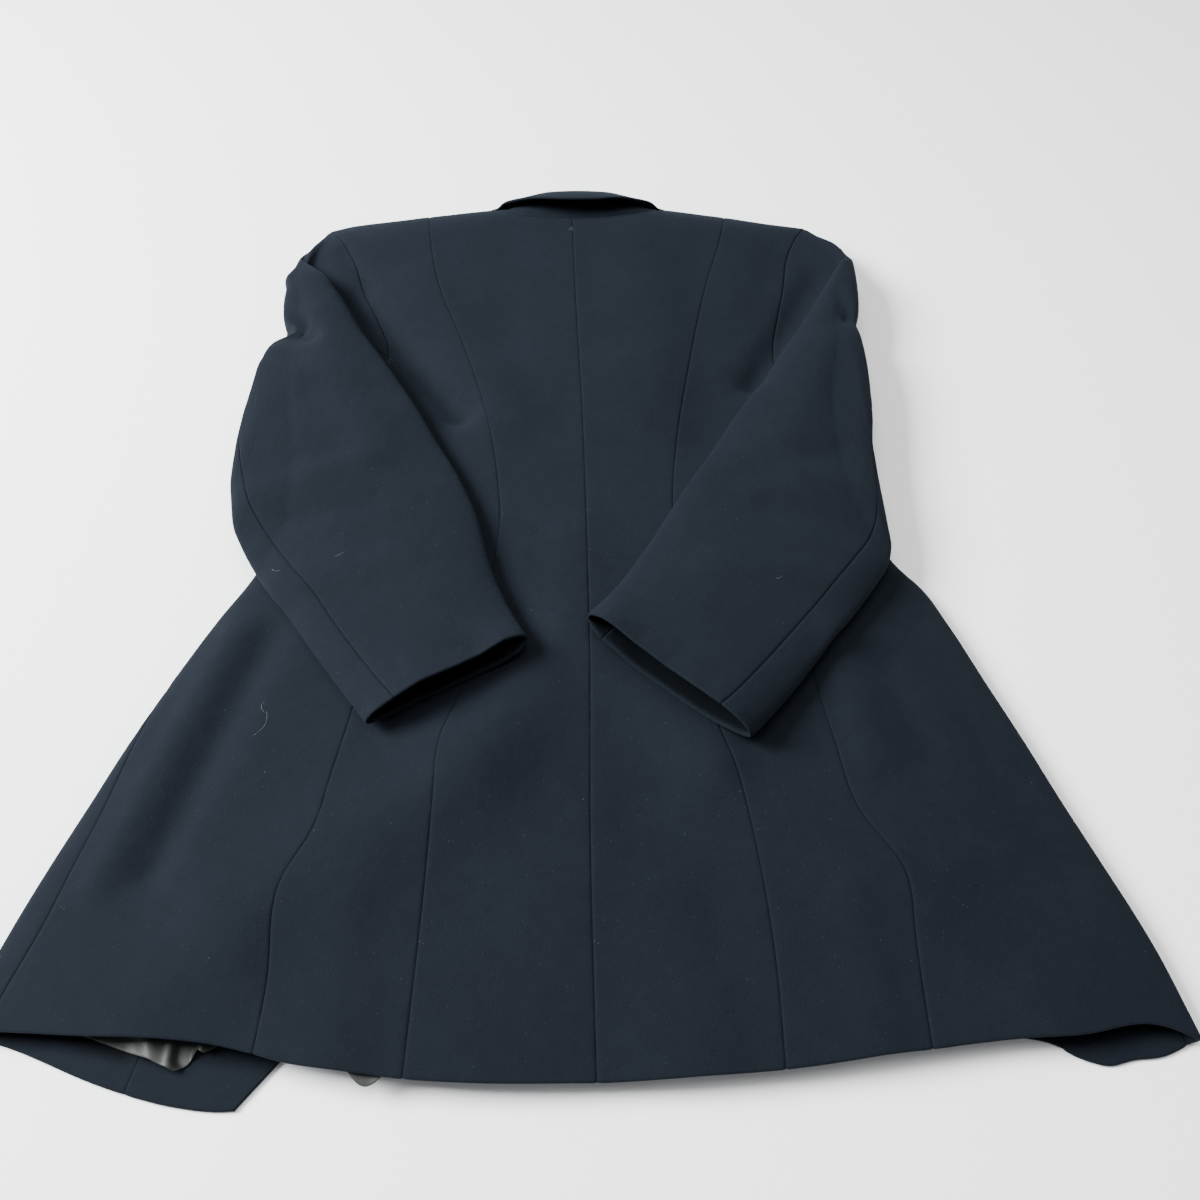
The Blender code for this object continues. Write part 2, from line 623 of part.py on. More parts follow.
def collar_rows():
    """The fall's stations from the left gorge, round the back neck, to the right gorge."""
    rows = [list(row) for row in COLLAR_FALL]
    for row in reversed(COLLAR_FALL[:-1]):
        mirrored = list(row)
        mirrored[0] = 2 * COLLAR_MIDDLE - row[0]
        mirrored[3] = 2 * COLLAR_MIDDLE - row[3]
        rows.append(mirrored)
    return rows


def station_curve(rows, column, at):
    return along([(k, row[column]) for k, row in enumerate(rows)], at)


def collar_fall(material):
    rows = collar_rows()

    def surface(u, v):
        roll = [station_curve(rows, k, v) for k in range(3)]
        edge = [station_curve(rows, k + 3, v) for k in range(3)]
        point = [a + (b - a) * u for a, b in zip(roll, edge)]
        point[2] = np.maximum(point[2] + station_curve(rows, 6, v) * np.sin(math.pi * u), 0.0)
        return np.stack(point, axis=-1)

    stations = np.linspace(0, len(rows) - 1, 2 * len(rows) - 1)
    return solid_from("collar_fall", surface, np.linspace(0, 1, 6), stations, WALL, material)


def collar_stand(material):
    def surface(u, v):
        first = [station_curve(COLLAR_STAND, k, v) for k in (1, 2)]
        crest = [station_curve(COLLAR_STAND, k, v) for k in (3, 4)]
        roll = [station_curve(COLLAR_STAND, k, v) for k in (5, 6)]
        x = station_curve(COLLAR_STAND, 0, v)
        share = 1 - u
        y, z = (a * (1 - share) ** 2 + (4 * b - a - c) * share * (1 - share) + c * share ** 2
                for a, b, c in zip(first, crest, roll))
        return np.stack([x, y, z], axis=-1)

    stations = np.linspace(0, len(COLLAR_STAND) - 1, 2 * len(COLLAR_STAND) - 1)
    return solid_from("collar_stand", surface, np.linspace(0, 1, 6), stations, WALL, material)


def lapel(side, material):
    sign = -1.0 if side == "left" else 1.0
    outline = LAPEL_OUTLINE[side]

    def surface(u, v):
        roll = along(FRONT_EDGE[side], v)
        share = 1 - u if side == "right" else u
        reach = straight(outline, v)
        # The outer face looks down, so its grid runs the other way round.
        return np.stack([roll + sign * (0.4 + (reach - 0.4) * share), v, np.zeros(v.shape)], axis=-1)

    rows = [row[0] for row in outline]
    levels = np.array(rows, dtype=float)
    return solid_from(f"lapel_{side}", surface, np.linspace(0, 1, 4), levels, WALL, material)


def button(index, place, material):
    """A plain flat button with a raised rim, its face down."""
    profile = [
        (0.0, 0.8), (0.62, 0.8), (0.70, 0.0), (0.94, 0.0),
        (1.0, 0.25), (1.0, 0.8), (0.9, 1.0), (0.0, 1.0),
    ]
    sides = 20
    points = []
    faces = []
    for radius, height in profile[1:-1]:
        for k in range(sides):
            angle = 2 * math.pi * k / sides
            points.append((BUTTON_RADIUS * radius * math.cos(angle) * MM,
                           BUTTON_RADIUS * radius * math.sin(angle) * MM, BUTTON_THICK * height * MM))
    rings = len(profile) - 2
    for ring in range(rings - 1):
        for k in range(sides):
            step = (k + 1) % sides
            faces.append((ring * sides + k, ring * sides + step,
                          (ring + 1) * sides + step, (ring + 1) * sides + k))
    faces.append(tuple(range(sides))[::-1])
    faces.append(tuple((rings - 1) * sides + k for k in range(sides)))
    mesh = bpy.data.meshes.new(f"button_{index}")
    mesh.from_pydata(points, [], faces)
    mesh.validate()
    mesh.materials.append(material)
    piece = bpy.data.objects.new(f"button_{index}", mesh)
    piece.location = (place[0] * MM, place[1] * MM, 0.0)
    bpy.context.scene.collection.objects.link(piece)
    return piece


def lining_front(material):
    """The front lining's lower edge, rumpled, on the inside of the left front."""
    x0, x1 = LINING_FRONT

    def surface(u, v):
        x = x0 + (x1 - x0) * u
        low = straight(FRONT_HEM["left"], x) + LINING_RISE
        y = low + LINING_DEPTH * v
        rumple = 1.3 + 1.3 * np.sin(u * 19.0 + v * 4.0) * np.sin(math.pi * np.clip(v * 1.2, 0, 1))
        return np.stack([x, y, WALL + SEAM_GAP + LINING_WALL + 0.2 + rumple], axis=-1)

    return solid_from("lining_front_left", surface, np.linspace(0, 1, 25), np.linspace(0, 1, 6),
                      LINING_WALL, material)


def lining_back(material):
    """A fold of the back lining that hangs below the hem, left of the centre."""
    x0, x1 = LINING_BACK

    def surface(u, v):
        x = x0 + (x1 - x0) * u
        droop = LINING_DROOP * np.sin(math.pi * np.clip(u, 0, 1))
        low = straight(BACK_HEM, x) + 1.0 - droop
        y = low + (LINING_DEPTH + droop) * v
        inside = back_height("left", x, np.maximum(y, -366)) - WALL - SEAM_GAP - 0.6
        return np.stack([x, y, inside - 1.5 * (1 - v) * np.sin(math.pi * u)], axis=-1)

    return solid_from("lining_back", surface, np.linspace(0, 1, 9), np.linspace(0, 1, 7),
                      LINING_WALL, material)


def make_material(name, colour, roughness):
    material = bpy.data.materials.new(name)
    material.use_nodes = True
    shader = material.node_tree.nodes["Principled BSDF"]
    shader.inputs["Base Color"].default_value = (*colour, 1.0)
    shader.inputs["Roughness"].default_value = roughness
    shader.inputs["Metallic"].default_value = 0.0
    material.diffuse_color = (*colour, 1.0)
    return material


def row_levels(join, count_low, count_high):
    """Row levels from hem to the armhole's foot, and on to the shoulder, closer at its turn."""
    low = np.linspace(HEM_LEVEL, join, count_low)
    turn = TOP_LEVEL - np.array([42, 28, 17, 9, 3.5, 1.0, 0.0])
    high = np.linspace(join, turn[0], count_high)[1:-1]
    return low, np.concatenate([low, high, turn])


def build():
    for item in list(bpy.data.objects):
        bpy.data.objects.remove(item, do_unlink=True)
    cloth = make_material("wool_cloth", (0.021, 0.027, 0.037), 0.85)
    satin = make_material("satin_lining", (0.16, 0.16, 0.14), 0.45)
    horn = make_material("button_horn", (0.02, 0.02, 0.022), 0.4)
    for side in ("left", "right"):
        join = BACK_ARMHOLE[side][0][0]
        low_levels, all_levels = row_levels(join, 16, 9)
        princess = seam_ring(PRINCESS, side)
        second = seam_ring(SECOND_SEAM, side)
        third = third_seam(side)
        front_seam = seam_ring(FRONT_SEAM, side, under=True)
        back_outer = upper_edge(side, SECOND_SEAM, BACK_ARMHOLE, join)
        front_outer = upper_edge(side, FRONT_SEAM, FRONT_ARMHOLE, FRONT_JOIN, under=True)

        torso_panel(f"back_{side}", side, (centre_back, princess), (level_join(join), back_top(side)),
                    np.linspace(0, 1, 8), all_levels, cloth)
        torso_panel(f"side_back_{side}", side, (princess, back_outer),
                    (level_join(join), shoulder_top(side)), np.linspace(0, 1, 6), all_levels, cloth)
        torso_panel(f"side_{side}", side, (second, third), (underarm(side), None),
                    np.linspace(0, 1, 8), low_levels, cloth)
        torso_panel(f"front_side_{side}", side, (third, front_seam), (underarm(side), None),
                    np.linspace(0, 1, 9), low_levels, cloth)
        torso_panel(f"front_{side}", side, (front_outer, front_edge(side)),
                    (level_join(FRONT_JOIN), shoulder_top(side)), np.linspace(0, 1, 11), all_levels, cloth)
        sleeve_piece(f"sleeve_top_{side}", side, HINDARM_SEAM, FOREARM_SEAM, 1.0, TOP_SLEEVE_COLUMNS, cloth)
        under_columns = np.linspace(0, 1, 11)
        sleeve_piece(f"sleeve_under_{side}", side, FOREARM_SEAM, HINDARM_SEAM, 0.0, under_columns, cloth)
        lapel(side, cloth)
    collar_stand(cloth)
    collar_fall(cloth)
    lining_front(satin)
    lining_back(satin)
    for index, place in enumerate(BUTTON_PLACES, start=1):
        button(index, place, horn)


def centre_back(y):
    return np.zeros(np.shape(y))


def level_join(join_y):
    """The same y at the armhole's foot all across a panel."""
    def place(ring, y):
        return np.full(np.shape(ring), float(join_y))
    return place


def front_edge(side):
    """Ring place of a front's free edge and roll line."""
    def place(y):
        return front_ring(side, along(FRONT_EDGE[side], y), y)
    return place


def front_ring(side, x, y):
    """Ring place of a point on the underside; past 2 it lies beyond the centre line."""
    middle = along(CENTRE_BACK, y)
    share = np.clip((x - middle) / (fold_x(side, y) - middle), -0.99, 1.0)
    return 2.0 - np.arcsin(share) * 2.0 / math.pi


build()
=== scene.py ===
"""Double-breasted blazer laid face down: its finished cloth, lining, buttons and threads.

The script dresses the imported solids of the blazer. The back is up, the collar is at +Y,
the hem at -Y, and the sleeves are folded across the back. Left and right are the
wearer's, so left is -X. Tables and shapes are in millimetres; meshes are in metres.
"""
import logging
import math
from dataclasses import dataclass
from enum import Enum
from typing import Callable, Sequence

import bpy
import numpy as np
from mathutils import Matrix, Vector
from mathutils.bvhtree import BVHTree


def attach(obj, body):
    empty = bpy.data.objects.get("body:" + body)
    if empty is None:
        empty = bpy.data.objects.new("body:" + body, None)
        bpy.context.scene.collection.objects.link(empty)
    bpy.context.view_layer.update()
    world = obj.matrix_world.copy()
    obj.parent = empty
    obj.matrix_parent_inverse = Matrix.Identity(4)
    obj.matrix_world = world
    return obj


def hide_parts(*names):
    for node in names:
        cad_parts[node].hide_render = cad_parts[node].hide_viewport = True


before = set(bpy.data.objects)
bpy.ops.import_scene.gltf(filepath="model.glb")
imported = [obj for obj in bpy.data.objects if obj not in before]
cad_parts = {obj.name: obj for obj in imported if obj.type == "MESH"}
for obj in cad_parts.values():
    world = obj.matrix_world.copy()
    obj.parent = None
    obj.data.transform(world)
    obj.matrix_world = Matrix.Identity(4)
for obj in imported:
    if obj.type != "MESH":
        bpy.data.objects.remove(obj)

LOG = logging.getLogger("blazer")
MM = 0.001
TURN = 2 * math.pi
ROOT_BODY = "root"
# Marks on the meshes that the finishes read.
WEAVE_AT = "weave_at"
SEAM_NEAR = "seam_near"
# Mark for near-black paint: the cloth's inner face as lining, and painted shade inside the cuffs
# and under the collar's fall.
LINING_AND_SHADE = "lined"

Array = np.ndarray
Row = tuple[float, ...]
Rows = Sequence[Row]
Place = Callable[..., Array]
Face = tuple[int, ...]
Colour = tuple[float, float, float, float]
Point = tuple[float, float, float]
# Noise: stretch of the place, scale, detail, roughness.
Noise = tuple[Row | None, float, float, float]
# Bump: what a height of 1 stands for in metres, strength.
Bump = tuple[float, float]
Object = bpy.types.Object
Material = bpy.types.Material
Socket = bpy.types.NodeSocket
# A length too short to divide by, and one longer than any piece.
TINY = 1e-9
FAR = 1e3


class Edge(Enum):
    """How an edge of a cut piece is finished."""

    SEAM = "sewn to its neighbour"
    FOLD = "turned and pressed"


ALL_FOLDED = (Edge.FOLD,) * 4
# A grid's first and last column, then its first and last row, and those inside them.
EDGES = (np.s_[0, :], np.s_[-1, :], np.s_[:, 0], np.s_[:, -1])
INSIDE_EDGES = (np.s_[1, :], np.s_[-2, :], np.s_[:, 1], np.s_[:, -2])


class Slot(Enum):
    """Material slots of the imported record."""

    WOOL = "wool_cloth"
    SATIN = "satin_lining"
    HORN = "button_horn"


@dataclass(frozen=True)
class Half:
    """Seams, folds and edges of one half of the blazer, as tables from the hem up."""

    name: str
    sign: float
    side_fold: Rows
    princess: Rows
    second_seam: Rows
    back_armhole: Rows
    front_armhole: Rows
    third_seam: Rows
    front_seam: Rows
    underarm: Rows
    front_hem: Rows
    front_edge: Rows
    lapel: Rows
    lapel_start: float
    arm_tip: float
    pinches: Rows
    sleeve_turn: Rows
    sleeve_folded: Rows
    sleeve_folds: Rows
    cuff_above: Rows
    cuff_below: Rows

    @property
    def back_join(self) -> float:
        """y where the back's second seam meets the armhole."""
        return self.back_armhole[0][0]

    @property
    def front_join(self) -> float:
        """y where the front's own seam meets the armhole."""
        return self.front_armhole[0][0]

    @property
    def cuff_station(self) -> int:
        """Number of the sleeve's last loop."""
        return len(self.sleeve_turn) + len(self.sleeve_folded)


LEFT = Half(
    name="left",
    sign=-1.0,
    # (y, x) rows.
    side_fold=((-345, -341), (-300, -330), (-246, -314), (-207, -301), (-165, -287),
               (-120, -270), (-72, -250), (-28, -230), (0, -224), (60, -229),
               (115, -240), (200, -250), (300, -254), (345, -244)),
    princess=((-370, -93.5), (-307, -91.3), (-215, -89), (-174, -88), (-132, -75.7),
              (-32, -63.3), (8, -60.5), (42, -63.7), (103, -74.3), (181, -97),
              (255, -122.7), (339, -138), (380, -142)),
    second_seam=((-361, -174.7), (-323, -172), (-263, -171), (-235, -159), (-195, -153),
                 (-151, -146), (-90, -138), (-20, -136), (60, -146), (133, -166)),
    back_armhole=((133, -166), (150, -160.5), (179, -158.5), (204, -163), (223, -171),
                  (251, -184), (289, -197), (321, -212), (348, -228)),
    front_armhole=((160, -170), (200, -171), (250, -183), (300, -203), (348, -228)),
    # (y, ring place) rows; past 1 the seam lies on the underside.
    third_seam=((-345, 0.80), (-325, 0.79), (-291, 0.775), (-252, 0.785), (-210, 0.81),
                (-172, 0.86), (-120, 0.96), (-70, 1.06), (-20, 1.12), (60, 1.12),
                (115, 1.08)),
    front_seam=((-372, -243), (-200, -205), (0, -165), (80, -160), (160, -170)),
    # (ring place, y) rows round the side fold.
    underarm=((0.47, 133), (0.58, 126), (0.70, 119), (0.85, 111), (1.0, 104),
              (1.15, 111), (1.3, 124), (1.4, 137), (1.48, 150), (1.52, 160)),
    # (x, y) rows.
    front_hem=((-338, -343), (-316, -348.5), (-256, -370), (-217, -380), (-185, -382.5),
               (-150, -372)),
    front_edge=((-384, -185), (-357, -163), (-300, -112), (-200, -20), (-120, 50),
                (-60, 66), (20, 66), (90, 42), (160, 4), (200, -18), (262, -50),
                (340, -80), (372, -88)),
    # (y, reach out from the roll line) rows.
    lapel=((168, 4), (176, 42), (192, 78), (222, 98), (240, 72), (260, 48)),
    lapel_start=168.0,
    arm_tip=350.0,
    # y, half length and depth of each dent in the sleeve's outer edge.
    pinches=((203, 26, 7), (197, 9, 13), (263, 9, -4)),
    # Shoulder edge x, y, z; underarm edge x, y, z; bulge x, z of each half.
    sleeve_turn=((-234, 335, 20, -254, 106, 13, -2, -14, 9, 10),
                 (-239, 315, 25, -257, 103, 21, -4, -3, 6, 9),
                 (-243, 297, 29, -257, 94, 29, -2, 7, 10, 5),
                 (-234, 281, 35, -257, 67, 29, -3, 9, 8, -4)),
    # Inner edge x, y; outer edge x, y; thickness; edge height.
    sleeve_folded=((-207, 249, -256, 40, 22, 11), (-179, 194, -252, 19, 22, 10),
                   (-156, 157, -247, -2, 21, 9), (-129, 111, -240, -17, 20, 8),
                   (-109, 72, -229, -36, 18, 7), (-92, 40, -213, -60, 17, 7),
                   (-76, 2, -197, -80, 17, 7), (-64, -42, -178, -107, 18, 7),
                   (-51, -77, -156, -137, 20, 8), (-36.5, -107, -134, -166, 24.5, 9)),
    # Start x, y; end x, y; half width; height.
    sleeve_folds=((-262, 192, -222, 186, 16, -4.0), (-215, 205, -150, 60, 18, 2.6),
                  (-240, 194, -218, 182, 8, -4.5), (-252, 164, -222, 154, 4, -1.8),
                  (-250, 150, -190, 120, 14, 2.0), (-205, 120, -150, 118, 12, -2.0),
                  (-232, -6, -150, 10, 13, -2.8), (-240, 20, -160, 50, 13, 2.0),
                  (-205, -60, -120, -40, 15, 1.6), (-185, 60, -110, 40, 14, -1.6)),
    # Share across from the inner edge; rise of the cuff's upper lip.
    cuff_above=((0, 0), (0.06, 1.0), (0.15, 1.6), (0.3, -3.2), (0.46, -2.6), (0.66, 1.0),
                (0.85, 0), (1, 0)),
    # Share across from the inner edge; shift in y of its lower lip.
    cuff_below=((0, 0), (0.05, -4.5), (0.15, -4.0), (0.35, -1.0), (0.7, 1.6), (1, 0)),
)
RIGHT = Half(
    name="right",
    sign=1.0,
    side_fold=((-347, 336), (-300, 325), (-246, 307), (-207, 293), (-165, 279),
               (-120, 263), (-72, 246), (-44, 234), (-24, 219), (0, 208), (60, 199),
               (118, 200), (200, 217), (300, 226), (345, 216)),
    princess=((-370, 108), (-295, 107), (-247, 102), (-202, 94), (-169, 85),
              (-100, 72), (22, 62), (92, 68.3), (158, 78.7), (255, 97),
              (333, 116), (380, 122)),
    second_seam=((-352, 187), (-295, 187), (-257, 185), (-222, 165), (-171, 155),
                 (-119, 146), (-40, 136), (40, 134), (100, 146), (130, 158)),
    back_armhole=((130, 158), (150, 152), (175, 149), (199, 150), (232, 156.5),
                  (262, 163), (299, 169), (324, 177.5), (352, 191)),
    front_armhole=((160, 152), (200, 151), (250, 158), (300, 170), (352, 191)),
    third_seam=((-347, 1.12), (-200, 1.13), (0, 1.13), (118, 1.08)),
    front_seam=((-350, 262), (-200, 192), (0, 150), (80, 143), (160, 152)),
    underarm=((0.55, 130), (0.64, 125), (0.76, 118), (0.88, 111), (1.0, 105),
              (1.14, 112), (1.28, 124), (1.38, 137), (1.46, 149), (1.5, 160)),
    front_hem=((60, -322), (150, -330), (240, -344), (258, -348), (270, -355),
               (285, -359), (299, -356), (316, -354), (333, -347)),
    front_edge=((-334, 166), (-300, 130), (-200, 20), (-120, -46), (-60, -60),
                (20, -58), (90, -34), (160, 4), (200, 24), (262, 44), (340, 62),
                (372, 68)),
    lapel=((26, 4), (60, 28), (120, 58), (180, 82), (222, 98), (240, 72), (260, 48)),
    lapel_start=26.0,
    arm_tip=352.0,
    pinches=((201, 32, 3), (206, 11, 2.5)),
    sleeve_turn=((214, 331, 20, 212, 107, 13, 3, -14, -9, 8),
                 (221, 309, 25, 213, 104, 21, 4, -3, -5, 6),
                 (222, 293, 30, 213, 95, 29, 2, 8, -8, 1),
                 (211, 282, 34, 211, 68, 29, -1, 11, -7, -6)),
    sleeve_folded=((189, 243, 211, 42, 20, 9), (172, 211, 211.5, 18, 20, 8),
                   (150, 173, 212, -2, 20, 8), (128, 131, 212, -19, 20, 8),
                   (105, 92, 207, -36, 19, 8), (87, 57, 195, -56, 18, 8),
                   (67, 20, 178, -81, 18, 8), (47, -19, 154, -113, 20, 8),
                   (25, -58, 129, -146, 24, 9), (2, -94, 102, -179, 31, 11)),
    sleeve_folds=((224, 208, 190, 198, 17, -3.0), (192, 190, 150, 80, 16, 2.4),
                  (203, 240, 214, 210, 8, -4.5), (216, 292, 186, 262, 3.0, -2.0),
                  (219, 288, 196, 268, 3.0, 1.0),
                  (206, -20, 130, 6, 13, -2.8), (208, 16, 150, 40, 13, 2.0),
                  (175, -60, 90, -50, 15, 1.8), (185, 60, 100, 30, 14, -1.8)),
    cuff_above=((0, 0), (0.1, 0.5), (0.3, -4.5), (0.5, -6.5), (0.7, -4.0), (0.9, -1.0),
                (1, 0)),
    cuff_below=((0, 0), (0.06, -3.5), (0.3, -4.5), (0.5, -3.0), (0.8, -2.5), (1, 0)),
)
HALVES = (LEFT, RIGHT)


@dataclass(frozen=True)
class Cut:
    """A piece as it was cut: width and length of its pattern, and its area, in metres."""

    width: float
    length: float
    area: float
    held: str = "laid"
    rests_on: tuple[str, ...] = ()


def smooth(rows: Rows, at: Array | float) -> Array:
    """Read a smooth curve.

    Args:
        rows: (key, value) rows that the curve goes through.
        at: keys to read it at.

    Returns:
        The values there, held at the ends.
    """
    keys = np.array([row[0] for row in rows], dtype=float)
    values = np.array([row[1] for row in rows], dtype=float)
    slopes = np.gradient(values, keys)
    at = np.clip(np.asarray(at, dtype=float), keys[0], keys[-1])
    low = np.clip(np.searchsorted(keys, at, side="right") - 1, 0, len(keys) - 2)
    span = keys[low + 1] - keys[low]
    t = (at - keys[low]) / span
    rise = values[low + 1] - values[low]
    start = slopes[low] * span
    finish = slopes[low + 1] * span
    bend = start + finish - 2 * rise
    return values[low] + t * (start + t * (3 * rise - 2 * start - finish + t * bend))


def straight(rows: Rows, at: Array | float) -> Array:
    """Read straight runs between (key, value) rows at the keys given."""
    return np.interp(at, [row[0] for row in rows], [row[1] for row in rows])


def ease(value: Array | float) -> Array:
    """Rise smoothly from 0 at 0 to 1 at 1."""
    value = np.clip(value, 0.0, 1.0)
    return value * value * (3.0 - 2.0 * value)


def rounded(depth: Array, radius: float) -> Array:
    """Height of a quarter round: its radius at no depth, 0 from a radius on."""
    depth = np.clip(depth, 0.0, radius)
    return radius - np.sqrt(2 * radius * depth - depth ** 2)


def unit(vectors: Array) -> Array:
    """Vectors made one long, and those of no length left so."""
    return vectors / np.maximum(np.linalg.norm(vectors, axis=-1, keepdims=True), TINY)


def ridge(rows: Rows, x: Array, y: Array) -> Array:
    """Sum long soft folds over a plan.

    Args:
        rows: start x, y; end x, y; half width; height, negative for a trough.
        x: plan places across.
        y: plan places along.

    Returns:
        The height that the folds add at each place.
    """
    total = np.zeros(np.broadcast(x, y).shape)
    for x0, y0, x1, y1, width, height in rows:
        run = np.array([x1 - x0, y1 - y0], dtype=float)
        length = float(np.hypot(*run))
        run = run / length
        place = ((x - x0) * run[0] + (y - y0) * run[1]) / length
        off = (x - x0) * run[1] - (y - y0) * run[0]
        beyond = (np.clip(-place, 0, None) + np.clip(place - 1, 0, None)) * length
        total = total + height * np.exp(-(off ** 2 + beyond ** 2) / width ** 2)
    return total


def arc_length(grid: Array, axis: int) -> Array:
    """Measure along a grid's lines.

    Args:
        grid: points, as (columns, rows, 3).
        axis: 0 to measure across the columns, 1 along the rows.

    Returns:
        Each point's distance from the first point of its line.
    """
    steps = np.linalg.norm(np.diff(grid, axis=axis), axis=-1)
    total = np.cumsum(steps, axis=axis)
    return np.concatenate([np.zeros_like(np.take(total, [0], axis=axis)), total], axis=axis)


def between_seams(width: Array, inner: int, near: Row, most: float = 0.42) -> Array:
    """Spread a strip's columns, with some at fixed distances from both edges.

    Args:
        width: the strip's width at each row.
        inner: how many columns lie between the fixed ones.
        near: distances of the fixed columns from each edge.
        most: share of a narrow strip that they may take up from each edge.

    Returns:
        Shares from 0 to 1, as (columns, rows).
    """
    places = np.array(near, dtype=float)
    fit = np.minimum(1.0, most * width / places[-1])
    first = places[:, None] * (fit / width)[None, :]
    last = 1.0 - first[::-1]
    steps = np.linspace(0, 1, inner + 2)[1:-1, None]
    middle = first[-1:] + (last[:1] - first[-1:]) * steps
    return np.concatenate([first, middle, last])


def plan(size: tuple[int, int], across: Row, along: Row) -> list[Array]:
    """Even grids of two values.

    Args:
        size: how many columns and rows they have.
        across: first and last value over the columns.
        along: first and last value over the rows.

    Returns:
        Both values over the grid, as (columns, rows).
    """
    return np.meshgrid(np.linspace(*across, size[0]), np.linspace(*along, size[1]),
                       indexing="ij")


def spread(surface: Place, levels: Array, inner: int, near: Row, samples: int) -> Array:
    """Lay a piece's grid, its columns gathered at both sewn edges.

    Args:
        surface: gives points of the outer face at shares across and levels.
        levels: levels of the rows.
        inner: how many columns lie between those gathered.
        near: distances of the gathered columns from each edge.
        samples: how many points across measure the piece's width.

    Returns:
        Points of the outer face, as (columns, rows, 3).
    """
    shares, rows = np.meshgrid(np.linspace(0, 1, samples), levels, indexing="ij")
    width = arc_length(surface(shares, rows), 0)[-1]
    shares = between_seams(width, inner, near)
    return surface(shares, np.broadcast_to(levels, shares.shape))


def ring_faces(rings: int, sides: int, start: int = 0) -> list[Face]:
    """Close a turned or drawn-out shape.

    Args:
        rings: how many rings of points it has.
        sides: points in each ring.
        start: index of its first point.

    Returns:
        Faces between the rings and over both ends.
    """
    faces = []
    for low in range(start, start + (rings - 1) * sides, sides):
        high = low + sides
        for k in range(sides):
            step = (k + 1) % sides
            faces.append((low + k, low + step, high + step, high + k))
    end = start + (rings - 1) * sides
    return faces + [tuple(range(start, start + sides))[::-1], tuple(range(end, end + sides))]


def place_object(name: str, data: bpy.types.ID) -> Object:
    """Put a mesh, lamp or camera into the scene.

    Args:
        name: the new object's name.
        data: what it shows.

    Returns:
        The new object.
    """
    made = bpy.data.objects.new(name, data)
    bpy.context.scene.collection.objects.link(made)
    return made


def make_mesh(name: str, points: Sequence[Sequence[float]], faces: Sequence[Sequence[int]],
              material: Material) -> bpy.types.Mesh:
    """Make a mesh with one finish.

    Args:
        name: the mesh's name.
        points: its points, in metres.
        faces: its faces, as indices of points.
        material: its finish.

    Returns:
        The new mesh.
    """
    mesh = bpy.data.meshes.new(name)
    mesh.from_pydata(points, [], faces)
    mesh.materials.append(material)
    return mesh


def dress(piece: Object, nodes: Sequence[str]) -> None:
    """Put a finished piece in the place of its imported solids.

    Args:
        piece: the finished piece.
        nodes: the solids that it stands for.
    """
    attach(piece, ROOT_BODY)
    if nodes:
        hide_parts(*nodes)
    LOG.info("%s: %d faces", piece.name, len(piece.data.polygons))


@dataclass(frozen=True)
class Ripple:
    """Gentle unevenness of cloth: seeded value noise in layers of (pitch, height)."""

    seed: int
    layers: tuple[tuple[float, float], ...]
    table_side: int = 64

    def at(self, x: Array, y: Array) -> Array:
        """Read the unevenness over a plan.

        Args:
            x: plan places across.
            y: plan places along.

        Returns:
            The height of the ripple at each place.
        """
        total = np.zeros(np.broadcast(x, y).shape)
        for index, (pitch, height) in enumerate(self.layers):
            table = np.random.default_rng(self.seed + index).uniform(
                -1, 1, (self.table_side, self.table_side))
            total = total + height * self._read(
                table, np.asarray(x) / pitch, np.asarray(y) / pitch)
        return total

    def _read(self, table: Array, x: Array, y: Array) -> Array:
        """Read a table of random values with smooth steps between its cells.

        Args:
            table: the square table, repeated without end.
            x: places across, in cells.
            y: places along, in cells.

        Returns:
            The value at each place.
        """
        side = self.table_side
        left = np.floor(x).astype(int)
        low = np.floor(y).astype(int)
        across = ease(x - left)
        up = ease(y - low)
        a = table[left % side, low % side]
        b = table[(left + 1) % side, low % side]
        c = table[left % side, (low + 1) % side]
        d = table[(left + 1) % side, (low + 1) % side]
        return (a + (b - a) * across) * (1 - up) + (c + (d - c) * across) * up


